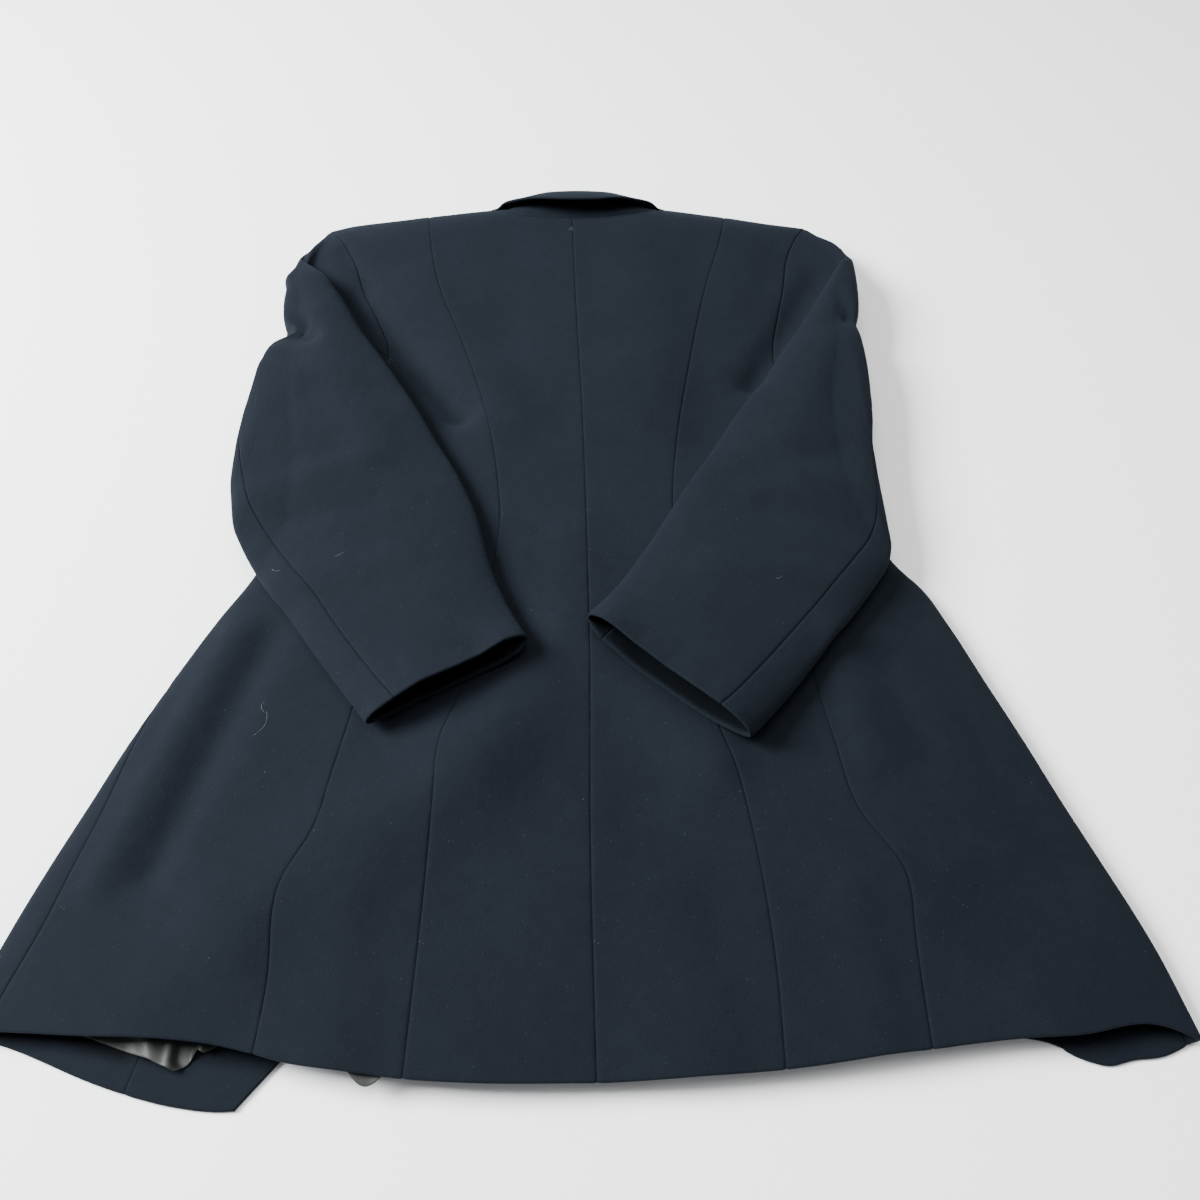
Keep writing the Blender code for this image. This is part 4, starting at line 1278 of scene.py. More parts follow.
    def point(self, place: Array, station: Array) -> Array:
        """Find points of the sleeve's outer face.

        Args:
            place: places round the sleeve.
            station: stations along it.

        Returns:
            The points, in millimetres.
        """
        half, form = self.half, self.form
        last = half.cuff_station
        station = np.clip(station, 0, last)
        x, y, z = np.moveaxis(self._between(place, station), -1, 0)
        z = z + form.rest_height(x, y)
        upper = ease((station - len(half.sleeve_turn) + self.turn_blend) / self.turn_blend)
        upper = upper * np.clip(np.sin(TURN * place), 0, 1) ** self.fold_power
        z = z + upper * ridge(half.sleeve_folds, x, y)
        past = np.abs(x) - np.abs(form.fold_x(half, self.dent_level)) + self.dent_reach
        near = ease(past / self.dent_reach) * ease((z - self.dent_floor) / self.dent_soft)
        dent = sum(depth * np.exp(-((y - middle) / length) ** 2)
                   for middle, length, depth in half.pinches)
        x = x - half.sign * dent * near
        share = self._over(place)
        above = self._on_top(place)
        at_cuff = ease((station - last + self.cuff_reach) / self.cuff_reach)
        z = z + np.where(above, at_cuff * straight(half.cuff_above, share), 0.0)
        y = y + np.where(above, 0.0, at_cuff * straight(half.cuff_below, share))
        return np.stack([x, y, np.maximum(z, 0.0)], axis=-1)

    def _set_in(self, place: Array) -> Array:
        """Stations that keep the sleeve's start clear of the armhole's seam.

        Args:
            place: places round the sleeve.

        Returns:
            How far along the sleeve it starts at each place.
        """
        edge = np.zeros(place.shape)
        away = self.point(place, edge + self.start_step) - self.point(place, edge)
        along = self.point(place + self.probe, edge) - self.point(place - self.probe, edge)
        clear = np.linalg.norm(np.cross(away, unit(along)), axis=-1)
        return self.start_step * self.armhole_gap / np.maximum(clear, self.least_clear)

    def _piece(self, kind: str, first: Rows, second: Rows, shift: float, inner: int) -> Object:
        """Make a sleeve piece between two seams, from the armhole to the cuff.

        Args:
            kind: the piece's name without its half.
            first: its first seam.
            second: its second seam.
            shift: turns round the sleeve that the second seam is further on.
            inner: columns between those that lie close to its seams.

        Returns:
            The new object.
        """
        last = self.half.cuff_station
        arm = np.arange(self.turn_rows[1], last - self.cuff_start, self.arm_step)
        stations = np.concatenate([self.head_rows, np.arange(*self.turn_rows), arm,
                                   last - np.array(self.cuff_rows)])

        def surface(u: Array, v: Array) -> Array:
            """Find points of the outer face.

            Args:
                u: shares across the piece.
                v: stations along the sleeve.

            Returns:
                The points, in millimetres.
            """
            start = smooth(first, v / last) + self.seam_gap
            finish = smooth(second, v / last) + shift - self.seam_gap
            share = u if self.half is LEFT else 1 - u
            place = start + (finish - start) * share
            return self.point(place, v + self._set_in(place) * np.clip(1 - v, 0, 1))

        outer = spread(surface, stations, inner, self.near_seam, self.samples)
        return self.sew(f"{kind}_{self.half.name}", outer,
                        (Edge.SEAM, Edge.SEAM, Edge.SEAM, Edge.FOLD), hem_depth=self.cuff_hem,
                        facing=self.cuff_facing, facing_soft=self.cuff_facing_soft)


@dataclass(kw_only=True)
class Collar(Sewn):
    """The turned collar: a fall that stands over the neck, its stand, and two lapels."""

    middle: float = -9.5
    fall_wall: float = 2.2
    stand_wall: float = 1.6
    lapel_wall: float = 2.0
    neck_overlap: float = 1.2
    neck_over: float = 0.15
    crown_lean: float = 0.8
    # Where up the stand its outer face turns near-black, and how softly: dark under-collar cloth,
    # with painted shade under the fall.
    dark_shade_from: float = 0.55
    dark_shade_soft: float = 0.2
    # How far a lapel starts from its roll line.
    roll_gap: float = 0.4
    # Columns and rows of each grid; the fall's columns lie closer at both edges.
    fall_near: Row = (0, 0.02, 0.05)
    fall_far: Row = (0.95, 0.98, 1)
    fall_between: tuple[float, float, int] = (0.1, 0.9, 15)
    fall_rows: int = 221
    stand_grid: tuple[int, int] = (21, 121)
    lapel_grid: tuple[int, int] = (15, 61)
    # Left gorge to centre back: roll line x, y, z; outer edge x, y, z; arch.
    fall: Rows = (
        (-50, 264, 0, -98, 270, 0, 0), (-62, 310, 0, -106, 312, 0, 0),
        (-69, 352, 0, -104, 346, 0, 0), (-70, 367.5, 0.4, -99, 366, 0.4, 0),
        (-70, 375, 5, -94.5, 374, 7, 0), (-69.5, 376.5, 10, -90, 373.5, 17, 0),
        (-69, 376.5, 17, -86.5, 369.5, 26.5, 0.3), (-68, 375, 24, -80.2, 366, 31.5, 0.5),
        (-65.5, 371.5, 30.5, -73.5, 363.9, 39, 0.8), (-58, 367, 36.5, -62.5, 355, 48.5, 1.2),
        (-50.5, 369.3, 38.8, -49.6, 348.5, 55, 2.0), (-38, 375.3, 39, -38, 343, 59, 2.8),
        (-27, 377.8, 39, -27, 340.5, 60, 3.3), (-9.5, 378.5, 39.2, -9.5, 339.5, 60.4, 3.5),
    )
    # Left end to centre back: x of the neck seam; roll line x, y, z; crown.
    stand: Rows = (
        (-81.5, -69, 374.5, 17, 0.0), (-78, -68, 373, 24, 0.4), (-71, -65.3, 369.8, 30.5, 1.0),
        (-58, -57.8, 366, 35.8, 2.2), (-46, -46, 370.6, 37.6, 3.0), (-28, -27, 376.4, 38, 3.6),
        (-9.5, -9.5, 377.2, 38.1, 4.0),
    )

    def build(self) -> list[Object]:
        """Make the fall, the stand and both lapels."""
        return [self._fall(), self._stand()] + [self._lapel(half) for half in HALVES]

    def _both_sides(self, rows: Rows, across: Sequence[int]) -> list[Row]:
        """Carry a table on from centre back to its right end.

        Args:
            rows: the table from its left end to centre back.
            across: its columns that hold x and change sides.

        Returns:
            The whole table.
        """
        return list(rows) + [
            tuple(2 * self.middle - value if k in across else value
                  for k, value in enumerate(row)) for row in reversed(rows[:-1])]

    def _columns(self, rows: Rows, at: Array) -> list[Array]:
        """Every column of a table as a smooth curve over its rows."""
        return [smooth(list(enumerate(column)), at) for column in zip(*rows)]

    def _fall(self) -> Object:
        """Make the fall, from gorge to gorge round the back neck.

        Returns:
            The new object.
        """
        rows = self._both_sides(self.fall, (0, 3))
        shares = np.concatenate([self.fall_near, np.linspace(*self.fall_between),
                                 self.fall_far])
        u, v = np.meshgrid(shares, np.linspace(0, len(rows) - 1, self.fall_rows),
                           indexing="ij")
        *ends, arch = self._columns(rows, v)
        x, y, z = (roll + (edge - roll) * u for roll, edge in zip(ends[:3], ends[3:]))
        z = np.maximum(z + arch * np.sin(math.pi * u), 0.0)
        return self.sew("collar_fall", np.stack([x, y, z], axis=-1), ALL_FOLDED,
                        wall=self.fall_wall, hem_wall=self.fall_wall)

    def _stand(self) -> Object:
        """Make the stand, from the neck seam to the roll line under the fall.

        Returns:
            The new object.
        """
        rows = self._both_sides(self.stand, (0, 1))
        u, v = plan(self.stand_grid, (0, 1), (0, len(rows) - 1))
        share = 1 - u
        neck_x, *roll, crown = self._columns(rows, v)
        neck_y = straight(self.form.neckline, neck_x) - self.neck_overlap
        half_z = [self.form.back_height(half, neck_x, neck_y) + self.neck_over
                  for half in HALVES]
        neck_z = np.where(neck_x < self.middle, *half_z)
        x, y, z = (start + (finish - start) * share
                   for start, finish in zip((neck_x, neck_y, neck_z), roll))
        z = z + crown * np.sin(math.pi * share ** self.crown_lean)
        return self.sew("collar_stand", np.stack([x, y, z], axis=-1),
                        (Edge.FOLD, Edge.SEAM, Edge.FOLD, Edge.FOLD),
                        wall=self.stand_wall, hem_wall=self.stand_wall,
                        face_lined=ease((share - self.dark_shade_from) / self.dark_shade_soft))

    def _lapel(self, half: Half) -> Object:
        """Make a lapel, folded back flat under its front.

        Args:
            half: the half that it belongs to.

        Returns:
            The new object.
        """
        u, v = plan(self.lapel_grid, (0, 1), (half.lapel[0][0], half.lapel[-1][0]))
        share = u if half is LEFT else 1 - u
        reach = self.roll_gap + (straight(half.lapel, v) - self.roll_gap) * share
        x = smooth(half.front_edge, v) + half.sign * reach
        return self.sew(f"lapel_{half.name}", np.stack([x, v, np.zeros(v.shape)], axis=-1),
                        ALL_FOLDED, wall=self.lapel_wall, hem_wall=self.lapel_wall)


@dataclass(kw_only=True)
class Lining(Sewn):
    """The satin that shows: rumpled inside the left front, and a fold below the hem."""

    slot: Slot = Slot.SATIN
    ending: str = "satin"
    wall: float = 0.7
    depth: float = 62.0
    # Room for the cloth that it lies on or hangs under.
    cloth: float = 2.0
    gap: float = 0.3
    front_room: float = 0.4
    back_room: float = 0.6
    # x, y of the lower edge inside the left front.
    front_edge: Rows = ((-316, -333), (-287, -340.5), (-275.5, -344), (-250.7, -352),
                        (-232.5, -358), (-218, -364), (-212, -360), (-208, -352.5),
                        (-203, -355), (-197, -350), (-190, -340))
    # Columns and rows of each grid.
    front_grid: tuple[int, int] = (121, 61)
    back_grid: tuple[int, int] = (33, 49)
    # Gathers: a wave with some rumple over it, which grows away from the edge.
    wave: tuple[float, float] = (13.0, 3.0)
    wave_height: float = 0.9
    wave_gain: float = 6.0
    rumple_part: float = 0.5
    rise: float = 1.5
    rise_inside: float = 1.2
    rise_gain: float = 1.4
    creases: Rows = ((-246, -300, -230, -364, 7, 4.0), (-213, -300, -215, -357, 3.5, -10.0),
                     (-223, -310, -221, -361, 4, 3.0), (-201, -310, -205, -356, 4, 4.0),
                     (-286, -300, -264, -347, 8, 2.5))
    rumple: Ripple = Ripple(seed=29, layers=((30.0, 1.0), (14.0, 0.4)))
    # The back lining's fold: its ends, how far it droops and sags, and what it follows.
    back_x: tuple[float, float] = (-124.0, -104.0)
    below_hem: float = 1.0
    droop: float = 7.0
    sag: float = 1.5
    follow_from: float = -366.0

    def build(self) -> list[Object]:
        """Make both pieces of lining."""
        return [self._front(), self._back()]

    def _satin(self, name: str, x: Array, y: Array, z: Array) -> Object:
        """Make a turned piece of satin from its outer face."""
        return self.sew(name, np.stack([x, y, z], axis=-1), ALL_FOLDED, wall=self.wall,
                        hem_wall=self.wall)

    def _front(self) -> Object:
        """Make the lining's lower edge on the inside of the left front.

        Returns:
            The new object.
        """
        u, v = plan(self.front_grid, (0, 1), (0, 1))
        x = self.front_edge[0][0] + (self.front_edge[-1][0] - self.front_edge[0][0]) * u
        y = straight(self.front_edge, x) + self.depth * v
        fold = np.sin(u * self.wave[0] + v * self.wave[1])
        fold = fold + self.rumple_part * self.rumple.at(x, y)
        height = self.rise + self.wave_height * fold * ease(v * self.wave_gain)
        height = height + self.rise_inside * ease(v * self.rise_gain)
        height = height + ridge(self.creases, x, y)
        floor = self.cloth + self.gap + self.wall + self.front_room
        return self._satin("lining_front_left", x, y, floor + np.clip(height, 0.0, None))

    def _back(self) -> Object:
        """Make a fold of the back lining that hangs below the hem.

        Returns:
            The new object.
        """
        u, v = plan(self.back_grid, (0, 1), (0, 1))
        x = self.back_x[0] + (self.back_x[1] - self.back_x[0]) * u
        droop = self.droop * np.sin(math.pi * u)
        y = straight(self.form.back_hem, x) + self.below_hem - droop + (self.depth + droop) * v
        outer = self.form.back_height(LEFT, x, np.maximum(y, self.follow_from))
        inside = outer - self.cloth - self.gap - self.back_room
        z = inside - self.sag * (1 - v) * np.sin(math.pi * u)
        return self._satin("lining_back", x, y, z)


@dataclass
class Buttons:
    """Four flat four-hole buttons on the fronts, face down."""

    horn: Material
    radius: float = 11.0
    thick: float = 3.4
    sides: int = 48
    hole_radius: float = 1.1
    hole_off: float = 2.4
    hole_sides: int = 16
    sharp_from: float = 35.0
    places: Rows = ((-38, -10), (44, -10), (-38, -92), (44, -92))
    # (share of radius, share of thickness), from the dish to the shank side.
    profile: Rows = ((0.30, 0.34), (0.55, 0.32), (0.66, 0.22), (0.74, 0.04), (0.84, 0.0),
                     (0.93, 0.04), (0.99, 0.24), (1.0, 0.5), (0.97, 0.8), (0.88, 0.97),
                     (0.6, 1.0))

    def build(self) -> list[Object]:
        """Make the four buttons."""
        return [self._button(k, place) for k, place in enumerate(self.places, start=1)]

    def _button(self, index: int, place: Row) -> Object:
        """Make one button, with its holes cut through.

        Args:
            index: its number.
            place: x, y of its middle.

        Returns:
            The new object.
        """
        angles = np.linspace(0, TURN, self.sides, endpoint=False)
        rings = [np.stack([self.radius * r * np.cos(angles), self.radius * r * np.sin(angles),
                           np.full(self.sides, self.thick * h)], axis=1)
                 for r, h in self.profile]
        points = np.concatenate(rings) + np.array([*place, 0.0])
        name = f"button_{index}_horn"
        mesh = make_mesh(name, (points * MM).tolist(), ring_faces(len(rings), self.sides),
                         self.horn)
        piece = place_object(name, mesh)
        for x_way in (-1, 1):
            for y_way in (-1, 1):
                self._drill(piece, place[0] + x_way * self.hole_off,
                            place[1] + y_way * self.hole_off)
        piece.data.shade_smooth()
        piece.data.set_sharp_from_angle(angle=math.radians(self.sharp_from))
        dress(piece, [f"button_{index}"])
        return piece

    def _drill(self, piece: Object, x: float, y: float) -> None:
        """Cut one hole through a button.

        Args:
            piece: the button.
            x: the hole's place across.
            y: the hole's place along.
        """
        bpy.ops.mesh.primitive_cylinder_add(
            vertices=self.hole_sides, radius=self.hole_radius * MM, depth=4 * self.thick * MM,
            location=(x * MM, y * MM, self.thick / 2 * MM))
        drill = bpy.context.object
        cut = piece.modifiers.new("hole", "BOOLEAN")
        cut.operation = "DIFFERENCE"
        cut.object = drill
        graph = bpy.context.evaluated_depsgraph_get()
        mesh = bpy.data.meshes.new_from_object(piece.evaluated_get(graph))
        piece.modifiers.clear()
        piece.data = mesh
        bpy.data.objects.remove(drill, do_unlink=True)


@dataclass
class ThreadEnds:
    """Loose ends of sewing thread and a few fibres that lie on the cloth."""

    thread: Material
    thickness: float = 0.13
    sides: int = 6
    steps: int = 8
    above_all: float = 0.2
    # Start x, y; end x, y; sideways curl; height over the cloth.
    strands: Rows = (
        (-159, 174, -155, 171, 1.2, 0.7), (-158, 175, -154, 177, -1.2, 0.6),
        (-14, 327.5, -12.5, 322, 1.4, 0.7), (-13, 326, -17, 323, -1.0, 0.6),
        (-206, -168, -200, -150, 4.0, 0.5), (-201, -151, -203, -142, -2.0, 0.6),
        (-212, -44, -205, -47, 1.5, 0.5), (-168, -40, -162, -36, 1.0, 0.5),
        (126, -62, 130, -60, 1.2, 0.4),
    )

    def build(self, cloth: Sequence[Object]) -> Object:
        """Lay the strands on the cloth.

        Args:
            cloth: the pieces that they may lie on.

        Returns:
            One object with all strands.
        """
        graph = bpy.context.evaluated_depsgraph_get()
        trees = [BVHTree.FromObject(piece, graph) for piece in cloth]
        points, faces = [], []
        for row in self.strands:
            faces += ring_faces(self.steps + 1, self.sides, len(points))
            points += self._tube(self._line(row, trees))
        mesh = make_mesh("thread_ends", points, faces, self.thread)
        mesh.shade_smooth()
        piece = place_object("thread_ends", mesh)
        dress(piece, [])
        return piece

    def _line(self, row: Row, trees: Sequence[BVHTree]) -> list[Vector]:
        """Follow the centre line of a strand, on the highest cloth under it.

        Args:
            row: its row of `strands`.
            trees: the pieces of cloth.

        Returns:
            Its points, in metres.
        """
        x0, y0, x1, y1, curl, height = row
        line = []
        for k in range(self.steps + 1):
            t = k / self.steps
            away = math.sin(math.pi * t)
            x = x0 + (x1 - x0) * t + curl * away * (y1 - y0) / math.hypot(x1 - x0, y1 - y0)
            y = y0 + (y1 - y0) * t - curl * away * (x1 - x0) / math.hypot(x1 - x0, y1 - y0)
            over = Vector((x * MM, y * MM, self.above_all))
            hits = [tree.ray_cast(over, Vector((0, 0, -1)))[0] for tree in trees]
            top = max((hit.z for hit in hits if hit is not None), default=0.0)
            line.append(Vector((x * MM, y * MM, top + (self.thickness / 2 + height * away) * MM)))
        return line

    def _tube(self, line: Sequence[Vector]) -> list[tuple[float, ...]]:
        """Put rings of points round a centre line.

        Args:
            line: its points, in metres.

        Returns:
            The rings' points in order, in metres.
        """
        points = []
        for k, centre in enumerate(line):
            way = (line[min(k + 1, len(line) - 1)] - line[max(k - 1, 0)]).normalized()
            side = way.cross(Vector((0, 0, 1))).normalized()
            up = side.cross(way)
            for s in range(self.sides):
                angle = TURN * s / self.sides
                off = side * math.cos(angle) + up * math.sin(angle)
                points.append(tuple(centre + off * (self.thickness / 2 * MM)))
        return points


class Value:
    """A shader socket that takes part in arithmetic."""

    def __init__(self, finish: "Finish", socket: Socket) -> None:
        """Wrap an output socket of a finish's node tree."""
        self.finish = finish
        self.socket = socket

    def _maths(self, operation: str, first: "Value | float", second: "Value | float") -> "Value":
        """Add a Math node for two operands."""
        node = self.finish.node("ShaderNodeMath", {"operation": operation},
                                {0: first, 1: second})
        return Value(self.finish, node.outputs[0])

    def __add__(self, other: "Value | float") -> "Value":
        """Sum of two values."""
        return self._maths("ADD", self, other)

    __radd__ = __add__

    def __sub__(self, other: "Value | float") -> "Value":
        """Difference of two values."""
        return self._maths("SUBTRACT", self, other)

    def __rsub__(self, other: "Value | float") -> "Value":
        """Difference with the value second."""
        return self._maths("SUBTRACT", other, self)

    def __mul__(self, other: "Value | float") -> "Value":
        """Product of two values."""
        return self._maths("MULTIPLY", self, other)

    __rmul__ = __mul__

    def sine(self) -> "Value":
        """Sine of the value."""
        return self._maths("SINE", self, 0.0)

    def at_least(self, other: "Value | float") -> "Value":
        """The greater of two values."""
        return self._maths("MAXIMUM", self, other)


class Finish:
    """A material and the one way in which its nodes are added."""

    def __init__(self, name: str) -> None:
        """Start a material with a Principled shader.

        Args:
            name: the material's name.
        """
        self.material = bpy.data.materials.new(name)
        self.material.use_nodes = True
        self.tree = self.material.node_tree
        self.shader = self.tree.nodes["Principled BSDF"]

    def node(self, kind: str, settings: dict[str, object] | None = None,
             inputs: dict[int | str, object] | None = None) -> bpy.types.Node:
        """Add a node.

        Args:
            kind: the node's type.
            settings: its own settings, set first.
            inputs: values, Values or sockets for its input sockets.

        Returns:
            The new node.
        """
        node = self.tree.nodes.new(kind)
        for key, value in (settings or {}).items():
            setattr(node, key, value)
        for key, value in (inputs or {}).items():
            self.feed(node.inputs[key], value)
        return node

    def feed(self, socket: Socket, value: object) -> None:
        """Give an input socket a link or a plain value.

        Args:
            socket: the input socket.
            value: a Value, an output socket, or what the socket holds by itself.
        """
        source = value.socket if isinstance(value, Value) else value
        if isinstance(source, Socket):
            self.tree.links.new(source, socket)
        else:
            socket.default_value = source

    def set(self, **sockets: object) -> None:
        """Feed sockets of the Principled shader, named with underscores for spaces."""
        for key, value in sockets.items():
            self.feed(self.shader.inputs[key.replace("_", " ")], value)

    def mark(self, name: str, output: str) -> Socket:
        """Read a mark of the mesh."""
        return self.node("ShaderNodeAttribute", {"attribute_name": name}).outputs[output]

    def object_place(self) -> Socket:
        """Place in the object, in metres."""
        return self.node("ShaderNodeTexCoord").outputs["Object"]

    def noise(self, place: Socket, stretch: Row | None, scale: float, detail: float,
              roughness: float) -> Value:
        """Add noise from 0 to 1.

        Args:
            place: where it is read.
            stretch: what each part of the place is first multiplied by, if anything.
            scale: how close its lumps lie.
            detail: how many finer layers it has.
            roughness: how strong they are.

        Returns:
            The noise.
        """
        if stretch is not None:
            place = self.node("ShaderNodeVectorMath", {"operation": "MULTIPLY"},
                              {0: place, 1: stretch}).outputs[0]
        node = self.node("ShaderNodeTexNoise", {"noise_dimensions": "3D"},
                         {"Vector": place, "Scale": scale, "Detail": detail,
                          "Roughness": roughness})
        return Value(self, node.outputs["Fac"])

    def parts(self, place: Socket) -> tuple[Value, Value]:
        """The first two parts of a vector."""
        node = self.node("ShaderNodeSeparateXYZ", {}, {0: place})
        return Value(self, node.outputs[0]), Value(self, node.outputs[1])

    def mix(self, factor: Value | float, first: object, second: object) -> Socket:
        """A colour mixed of two."""
        node = self.node("ShaderNodeMix", {"data_type": "RGBA"}, {0: factor, 6: first, 7: second})
        return node.outputs[2]

    def bump(self, height: Value, distance: float, strength: float,
             under: Socket | None = None) -> Socket:
        """Turn heights into a normal.

        Args:
            height: the heights.
            distance: what a height of 1 stands for, in metres.
            strength: how much of it counts.
            under: an earlier normal to lay it over.

        Returns:
            The normal.
        """
        inputs = {"Height": height, "Distance": distance, "Strength": strength}
        if under is not None:
            inputs["Normal"] = under
        return self.node("ShaderNodeBump", {}, inputs).outputs["Normal"]


@dataclass(frozen=True)
class WoolFinish:
    """Matte crepe-woven wool in a dark navy slate."""

    shade: Colour = (0.0030, 0.0042, 0.0063, 1.0)
    light: Colour = (0.0080, 0.0106, 0.0146, 1.0)
    fleck: Colour = (0.032, 0.039, 0.047, 1.0)
    # Near-black for inner faces and seam grooves: lining, and painted shade.
    lining: Colour = (0.0012, 0.0015, 0.0020, 1.0)
    crepe: Noise = ((1.0, 0.55, 1.0), 1.1, 3.0, 0.62)
    mottle: Noise = (None, 0.085, 3.0, 0.6)
    cloud: Noise = (None, 0.017, 2.0, 0.5)
    slub: Noise = ((0.45, 1.3, 1.0), 1.0, 1.0, 0.5)
    lint: Noise = ((1.0, 0.7, 1.0), 0.9, 1.0, 0.4)
    # Part of each in the tone, and what is taken off their sum.
    crepe_tone: float = 0.62
    mottle_tone: float = 0.35
    cloud_tone: float = 0.35
    slub_tone: float = 0.06
    twill_tone: float = 0.006
    tone_off: float = 0.19
    lint_from: float = 0.735
    lint_gain: float = 9.0
    # Painted shade along each seam's groove: how fast it fades off the seam, and how dark it
    # gets.
    seam_fade: float = 1.7
    seam_shade: float = 0.42
    thread_pitch: float = 0.52
    thread_part: float = 0.5
    twill_part: float = 0.6
    weave_bump: Bump = (0.00002, 0.2)
    crepe_bump: Bump = (0.00035, 0.65)
    mottle_bump: Bump = (0.0012, 0.35)
    roughness: float = 0.80
    roughness_part: float = 0.12
    specular: float = 0.04
    sheen: float = 0.03
    sheen_roughness: float = 0.55
    sheen_tint: Colour = (0.45, 0.62, 0.85, 1.0)

    def build(self) -> Material:
        """Make the material.

        Returns:
            The new material.
        """
        finish = Finish("wool_cloth_finish")
        place = finish.mark(WEAVE_AT, "Vector")
        across, along = finish.parts(place)
        pitch = TURN / self.thread_pitch
        warp = (across * pitch).sine()
        weft = (along * pitch).sine()
        twill = ((across + along) * (pitch / 2)).sine()
        crepe = finish.noise(place, *self.crepe)
        mottle = finish.noise(place, *self.mottle)
        cloud = finish.noise(place, *self.cloud)
        slub = finish.noise(place, *self.slub)
        tone = (crepe * self.crepe_tone + mottle * self.mottle_tone + cloud * self.cloud_tone
                + slub * self.slub_tone - self.tone_off + twill * self.twill_tone)
        cloth = finish.mix(tone, self.shade, self.light)
        lint = finish.noise(place, *self.lint)
        lint = ((lint - self.lint_from) * self.lint_gain).at_least(0.0)
        cloth = finish.mix(lint, cloth, self.fleck)
        # Painted shade in the seam grooves, darkest on the seam line.
        seam = Value(finish, finish.mark(SEAM_NEAR, "Fac"))
        sunk = (1.0 - seam * self.seam_fade).at_least(0.0)
        cloth = finish.mix(sunk * self.seam_shade, cloth, self.lining)
        # Inner faces, the stand under the fall and the cuff openings painted near-black: lining
        # and painted shade.
        cloth = finish.mix(finish.mark(LINING_AND_SHADE, "Fac"), cloth, self.lining)
        weave = warp * self.thread_part + weft * self.thread_part + twill * self.twill_part
        normal = finish.bump(weave, *self.weave_bump)
        normal = finish.bump(crepe, *self.crepe_bump, normal)
        normal = finish.bump(mottle, *self.mottle_bump, normal)
        finish.set(Base_Color=cloth, Roughness=crepe * self.roughness_part + self.roughness,
                   Metallic=0.0, Specular_IOR_Level=self.specular, Sheen_Weight=self.sheen,
                   Sheen_Roughness=self.sheen_roughness, Sheen_Tint=self.sheen_tint,
                   Normal=normal)
        return finish.material


@dataclass(frozen=True)
class SatinFinish:
    """Grey-olive satin lining, smooth and softly creased."""

    shade: Colour = (0.0080, 0.0083, 0.0074, 1.0)
    light: Colour = (0.032, 0.036, 0.034, 1.0)
    thread: Noise = ((6.0, 0.5, 1.0), 1.0, 2.0, 0.6)
    crease: Noise = ((0.11, 0.05, 1.0), 1.0, 1.0, 0.4)
    thread_tone: float = 0.08
    # Painted shade and light of the creases: the colour follows the same noise that bumps them.
    crease_shading: float = 1.3
    tone_off: float = 0.25
    crease_bump: Bump = (0.0012, 0.4)
    thread_bump: Bump = (0.00002, 0.2)
    roughness: float = 0.46
    roughness_part: float = 0.06
    specular: float = 0.22

    def build(self) -> Material:
        """Make the material.

        Returns:
            The new material.
        """
        finish = Finish("satin_lining_finish")
        place = finish.mark(WEAVE_AT, "Vector")
        thread = finish.noise(place, *self.thread)
        crease = finish.noise(place, *self.crease)
        # Colour darker and lighter with the crease noise: painted shade and light of the creases,
        # over real thread tone.
        tone = thread * self.thread_tone + crease * self.crease_shading - self.tone_off
        normal = finish.bump(crease, *self.crease_bump)
        normal = finish.bump(thread, *self.thread_bump, normal)
        finish.set(Base_Color=finish.mix(tone, self.shade, self.light),
                   Roughness=thread * self.roughness_part + self.roughness, Metallic=0.0,
                   Specular_IOR_Level=self.specular, Sheen_Weight=0.0, Normal=normal)
        return finish.material


@dataclass(frozen=True)
class HornFinish:
    """Dark horn imitation with cloudy streaks."""

    shade: Colour = (0.006, 0.006, 0.007, 1.0)
    light: Colour = (0.034, 0.031, 0.028, 1.0)
    streak: Noise = ((260.0, 60.0, 60.0), 1.0, 4.0, 0.6)
    wear: Noise = (None, 900.0, 2.0, 0.5)
    wear_bump: Bump = (0.0001, 0.3)
    roughness: float = 0.24
    roughness_part: float = 0.2
    specular: float = 0.5

    def build(self) -> Material:
        """Make the material.

        Returns:
            The new material.
        """
        finish = Finish("button_horn_finish")
        place = finish.object_place()
        streak = finish.noise(place, *self.streak)
        wear = finish.noise(place, *self.wear)
        finish.set(Base_Color=finish.mix(streak, self.shade, self.light),
                   Roughness=wear * self.roughness_part + self.roughness, Metallic=0.0,
                   Specular_IOR_Level=self.specular, Normal=finish.bump(wear, *self.wear_bump))
        return finish.material


@dataclass(frozen=True)
class ThreadFinish:
    """Pale grey sewing thread and fibres."""

    shade: Colour = (0.06, 0.07, 0.08, 1.0)
    light: Colour = (0.18, 0.20, 0.22, 1.0)
    twist: Noise = (None, 1800.0, 1.0, 0.5)
    roughness: float = 0.7
    roughness_part: float = 0.2

    def build(self) -> Material:
        """Make the material.

        Returns:
            The new material.
        """
        finish = Finish("thread_finish")
        twist = finish.noise(finish.object_place(), *self.twist)
        finish.set(Base_Color=finish.mix(twist, self.shade, self.light),
                   Roughness=twist * self.roughness_part + self.roughness, Metallic=0.0)
        return finish.material


@dataclass(frozen=True)
class FloorFinish:
    """Plain pale surface, hardly clouded."""

    shade: Colour = (0.94, 0.942, 0.945, 1.0)
    paler_by: float = 0.02
    grain: Noise = (None, 3.0, 2.0, 0.5)
    roughness: float = 0.9

    def build(self) -> Material:
        """Make the material.

        Returns:
            The new material.
        """
        finish = Finish("floor_finish")
        grain = finish.noise(finish.object_place(), *self.grain)
        paler = tuple(min(1.0, part + self.paler_by) for part in self.shade[:3]) + (1.0,)
        finish.set(Base_Color=finish.mix(grain, self.shade, paler), Roughness=self.roughness)
        return finish.material


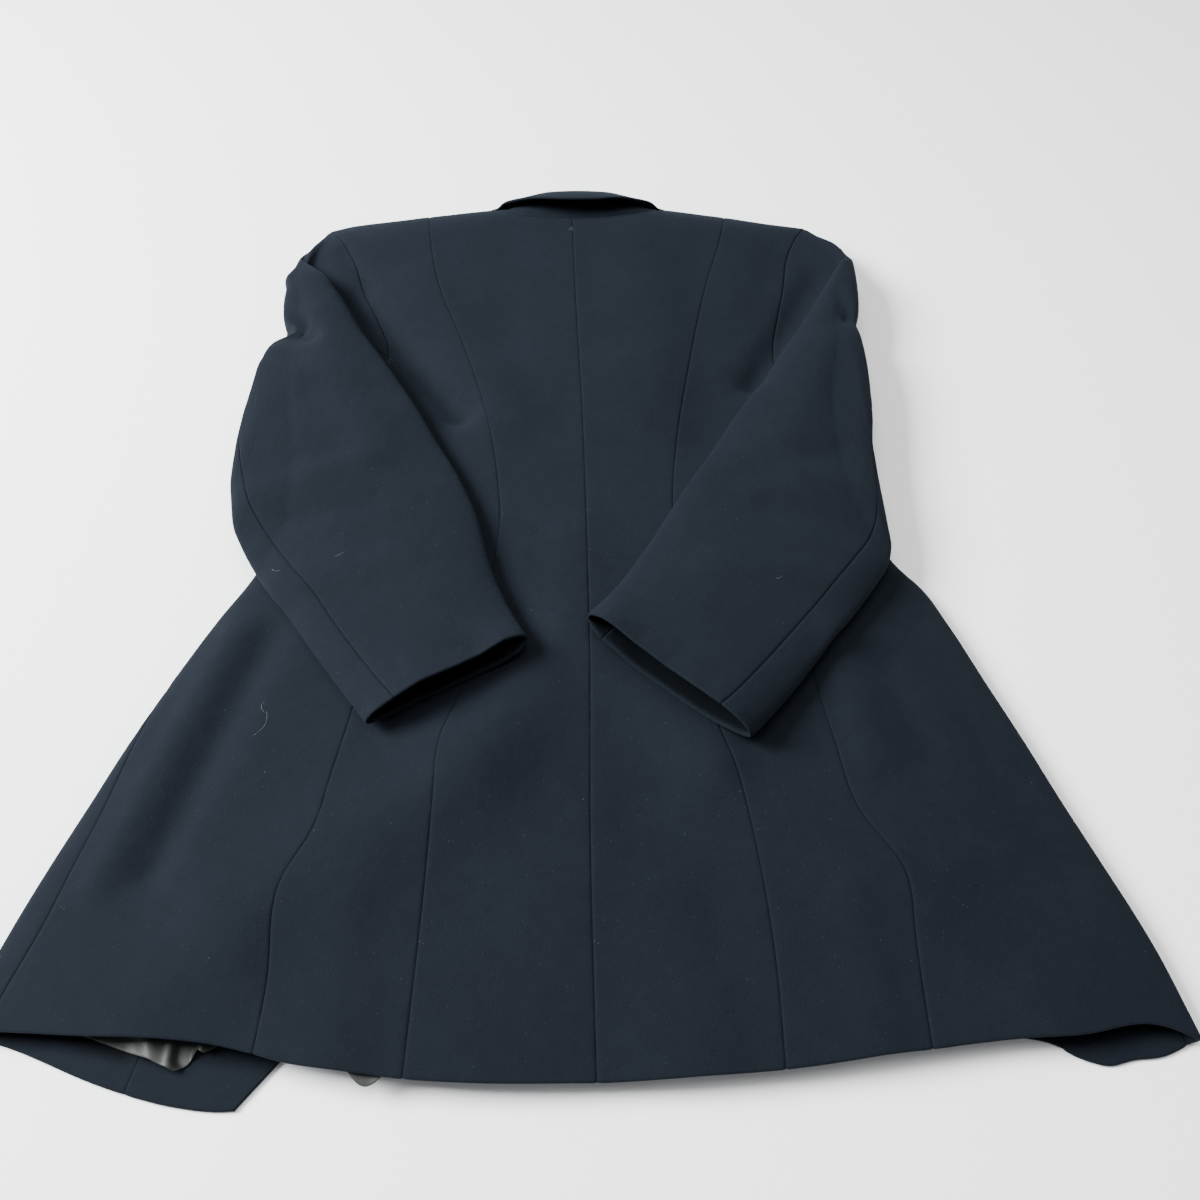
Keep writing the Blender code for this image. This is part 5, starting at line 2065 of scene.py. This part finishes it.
@dataclass(frozen=True)
class Lamp:
    """A square soft lamp: its place and aim in metres, side, watts and colour."""

    place: Point
    aim: Point
    side: float
    watts: float
    colour: tuple[float, float, float]

    def build(self, name: str) -> None:
        """Make the lamp and aim it.

        Args:
            name: the lamp's name.
        """
        light = bpy.data.lights.new(name, "AREA")
        light.shape = "SQUARE"
        light.size = self.side
        light.energy = self.watts
        light.color = self.colour
        lamp = place_object(name, light)
        lamp.location = self.place
        way = Vector(self.aim) - Vector(self.place)
        lamp.rotation_euler = way.to_track_quat("-Z", "Y").to_euler()


@dataclass(frozen=True)
class Studio:
    """Plain pale floor, soft light and the camera at the photograph's angle, in metres."""

    floor_side: float = 12.0
    floor_drop: float = 0.0006
    world_colour: Colour = (0.93, 0.96, 1.0, 1.0)
    world_strength: float = 0.38
    camera_at: Point = (0.010, -0.549, 0.670)
    camera_down: float = 53.0
    # Focal length and width of the film, in millimetres.
    lens: float = 36.0
    film: float = 36.0
    clip_start: float = 0.01
    lamps: tuple[Lamp, ...] = (
        Lamp((-1.80, 0.14, 1.45), (0.0, -0.05, 0.0), 1.10, 222.0, (0.97, 0.99, 1.0)),
        Lamp((0.1, 0.2, 2.4), (0.0, -0.1, 0.0), 1.8, 60.0, (1.0, 0.99, 0.97)),
    )

    def build(self) -> None:
        """Make the floor, world, lamps and camera."""
        self._floor()
        self._world()
        for number, lamp in enumerate(self.lamps, start=1):
            lamp.build(f"soft_lamp_{number}")
        self._camera()

    def _floor(self) -> None:
        """Make a pale floor just below the cloth."""
        half = self.floor_side / 2
        points = [(x * half, y * half, -self.floor_drop)
                  for x, y in ((-1, -1), (1, -1), (1, 1), (-1, 1))]
        mesh = make_mesh("floor", points, [(0, 1, 2, 3)], FloorFinish().build())
        place_object("floor", mesh)

    def _world(self) -> None:
        """Make an even bright surround."""
        world = bpy.data.worlds.new("surround")
        world.use_nodes = True
        back = world.node_tree.nodes["Background"]
        back.inputs["Color"].default_value = self.world_colour
        back.inputs["Strength"].default_value = self.world_strength
        bpy.context.scene.world = world

    def _camera(self) -> None:
        """Make the camera, looking down along +Y."""
        view = bpy.data.cameras.new("camera")
        view.lens = self.lens
        view.sensor_width = self.film
        view.clip_start = self.clip_start
        camera = place_object("camera", view)
        camera.location = self.camera_at
        camera.rotation_euler = (math.radians(90 - self.camera_down), 0.0, 0.0)
        bpy.context.scene.camera = camera


def main() -> None:
    """Build every sub-assembly in order."""
    logging.basicConfig(level=logging.INFO, format="%(name)s: %(message)s")
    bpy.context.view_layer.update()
    form = BodyForm()
    wool = WoolFinish().build()
    body = Body(form=form, material=wool).build()
    sleeves = [piece for half in HALVES
               for piece in Sleeve(form=form, material=wool, half=half).build()]
    collar = Collar(form=form, material=wool).build()
    Lining(form=form, material=SatinFinish().build()).build()
    Buttons(HornFinish().build()).build()
    ThreadEnds(ThreadFinish().build()).build(body + sleeves + collar)
    Studio().build()


if __name__ == "__main__":
    main()
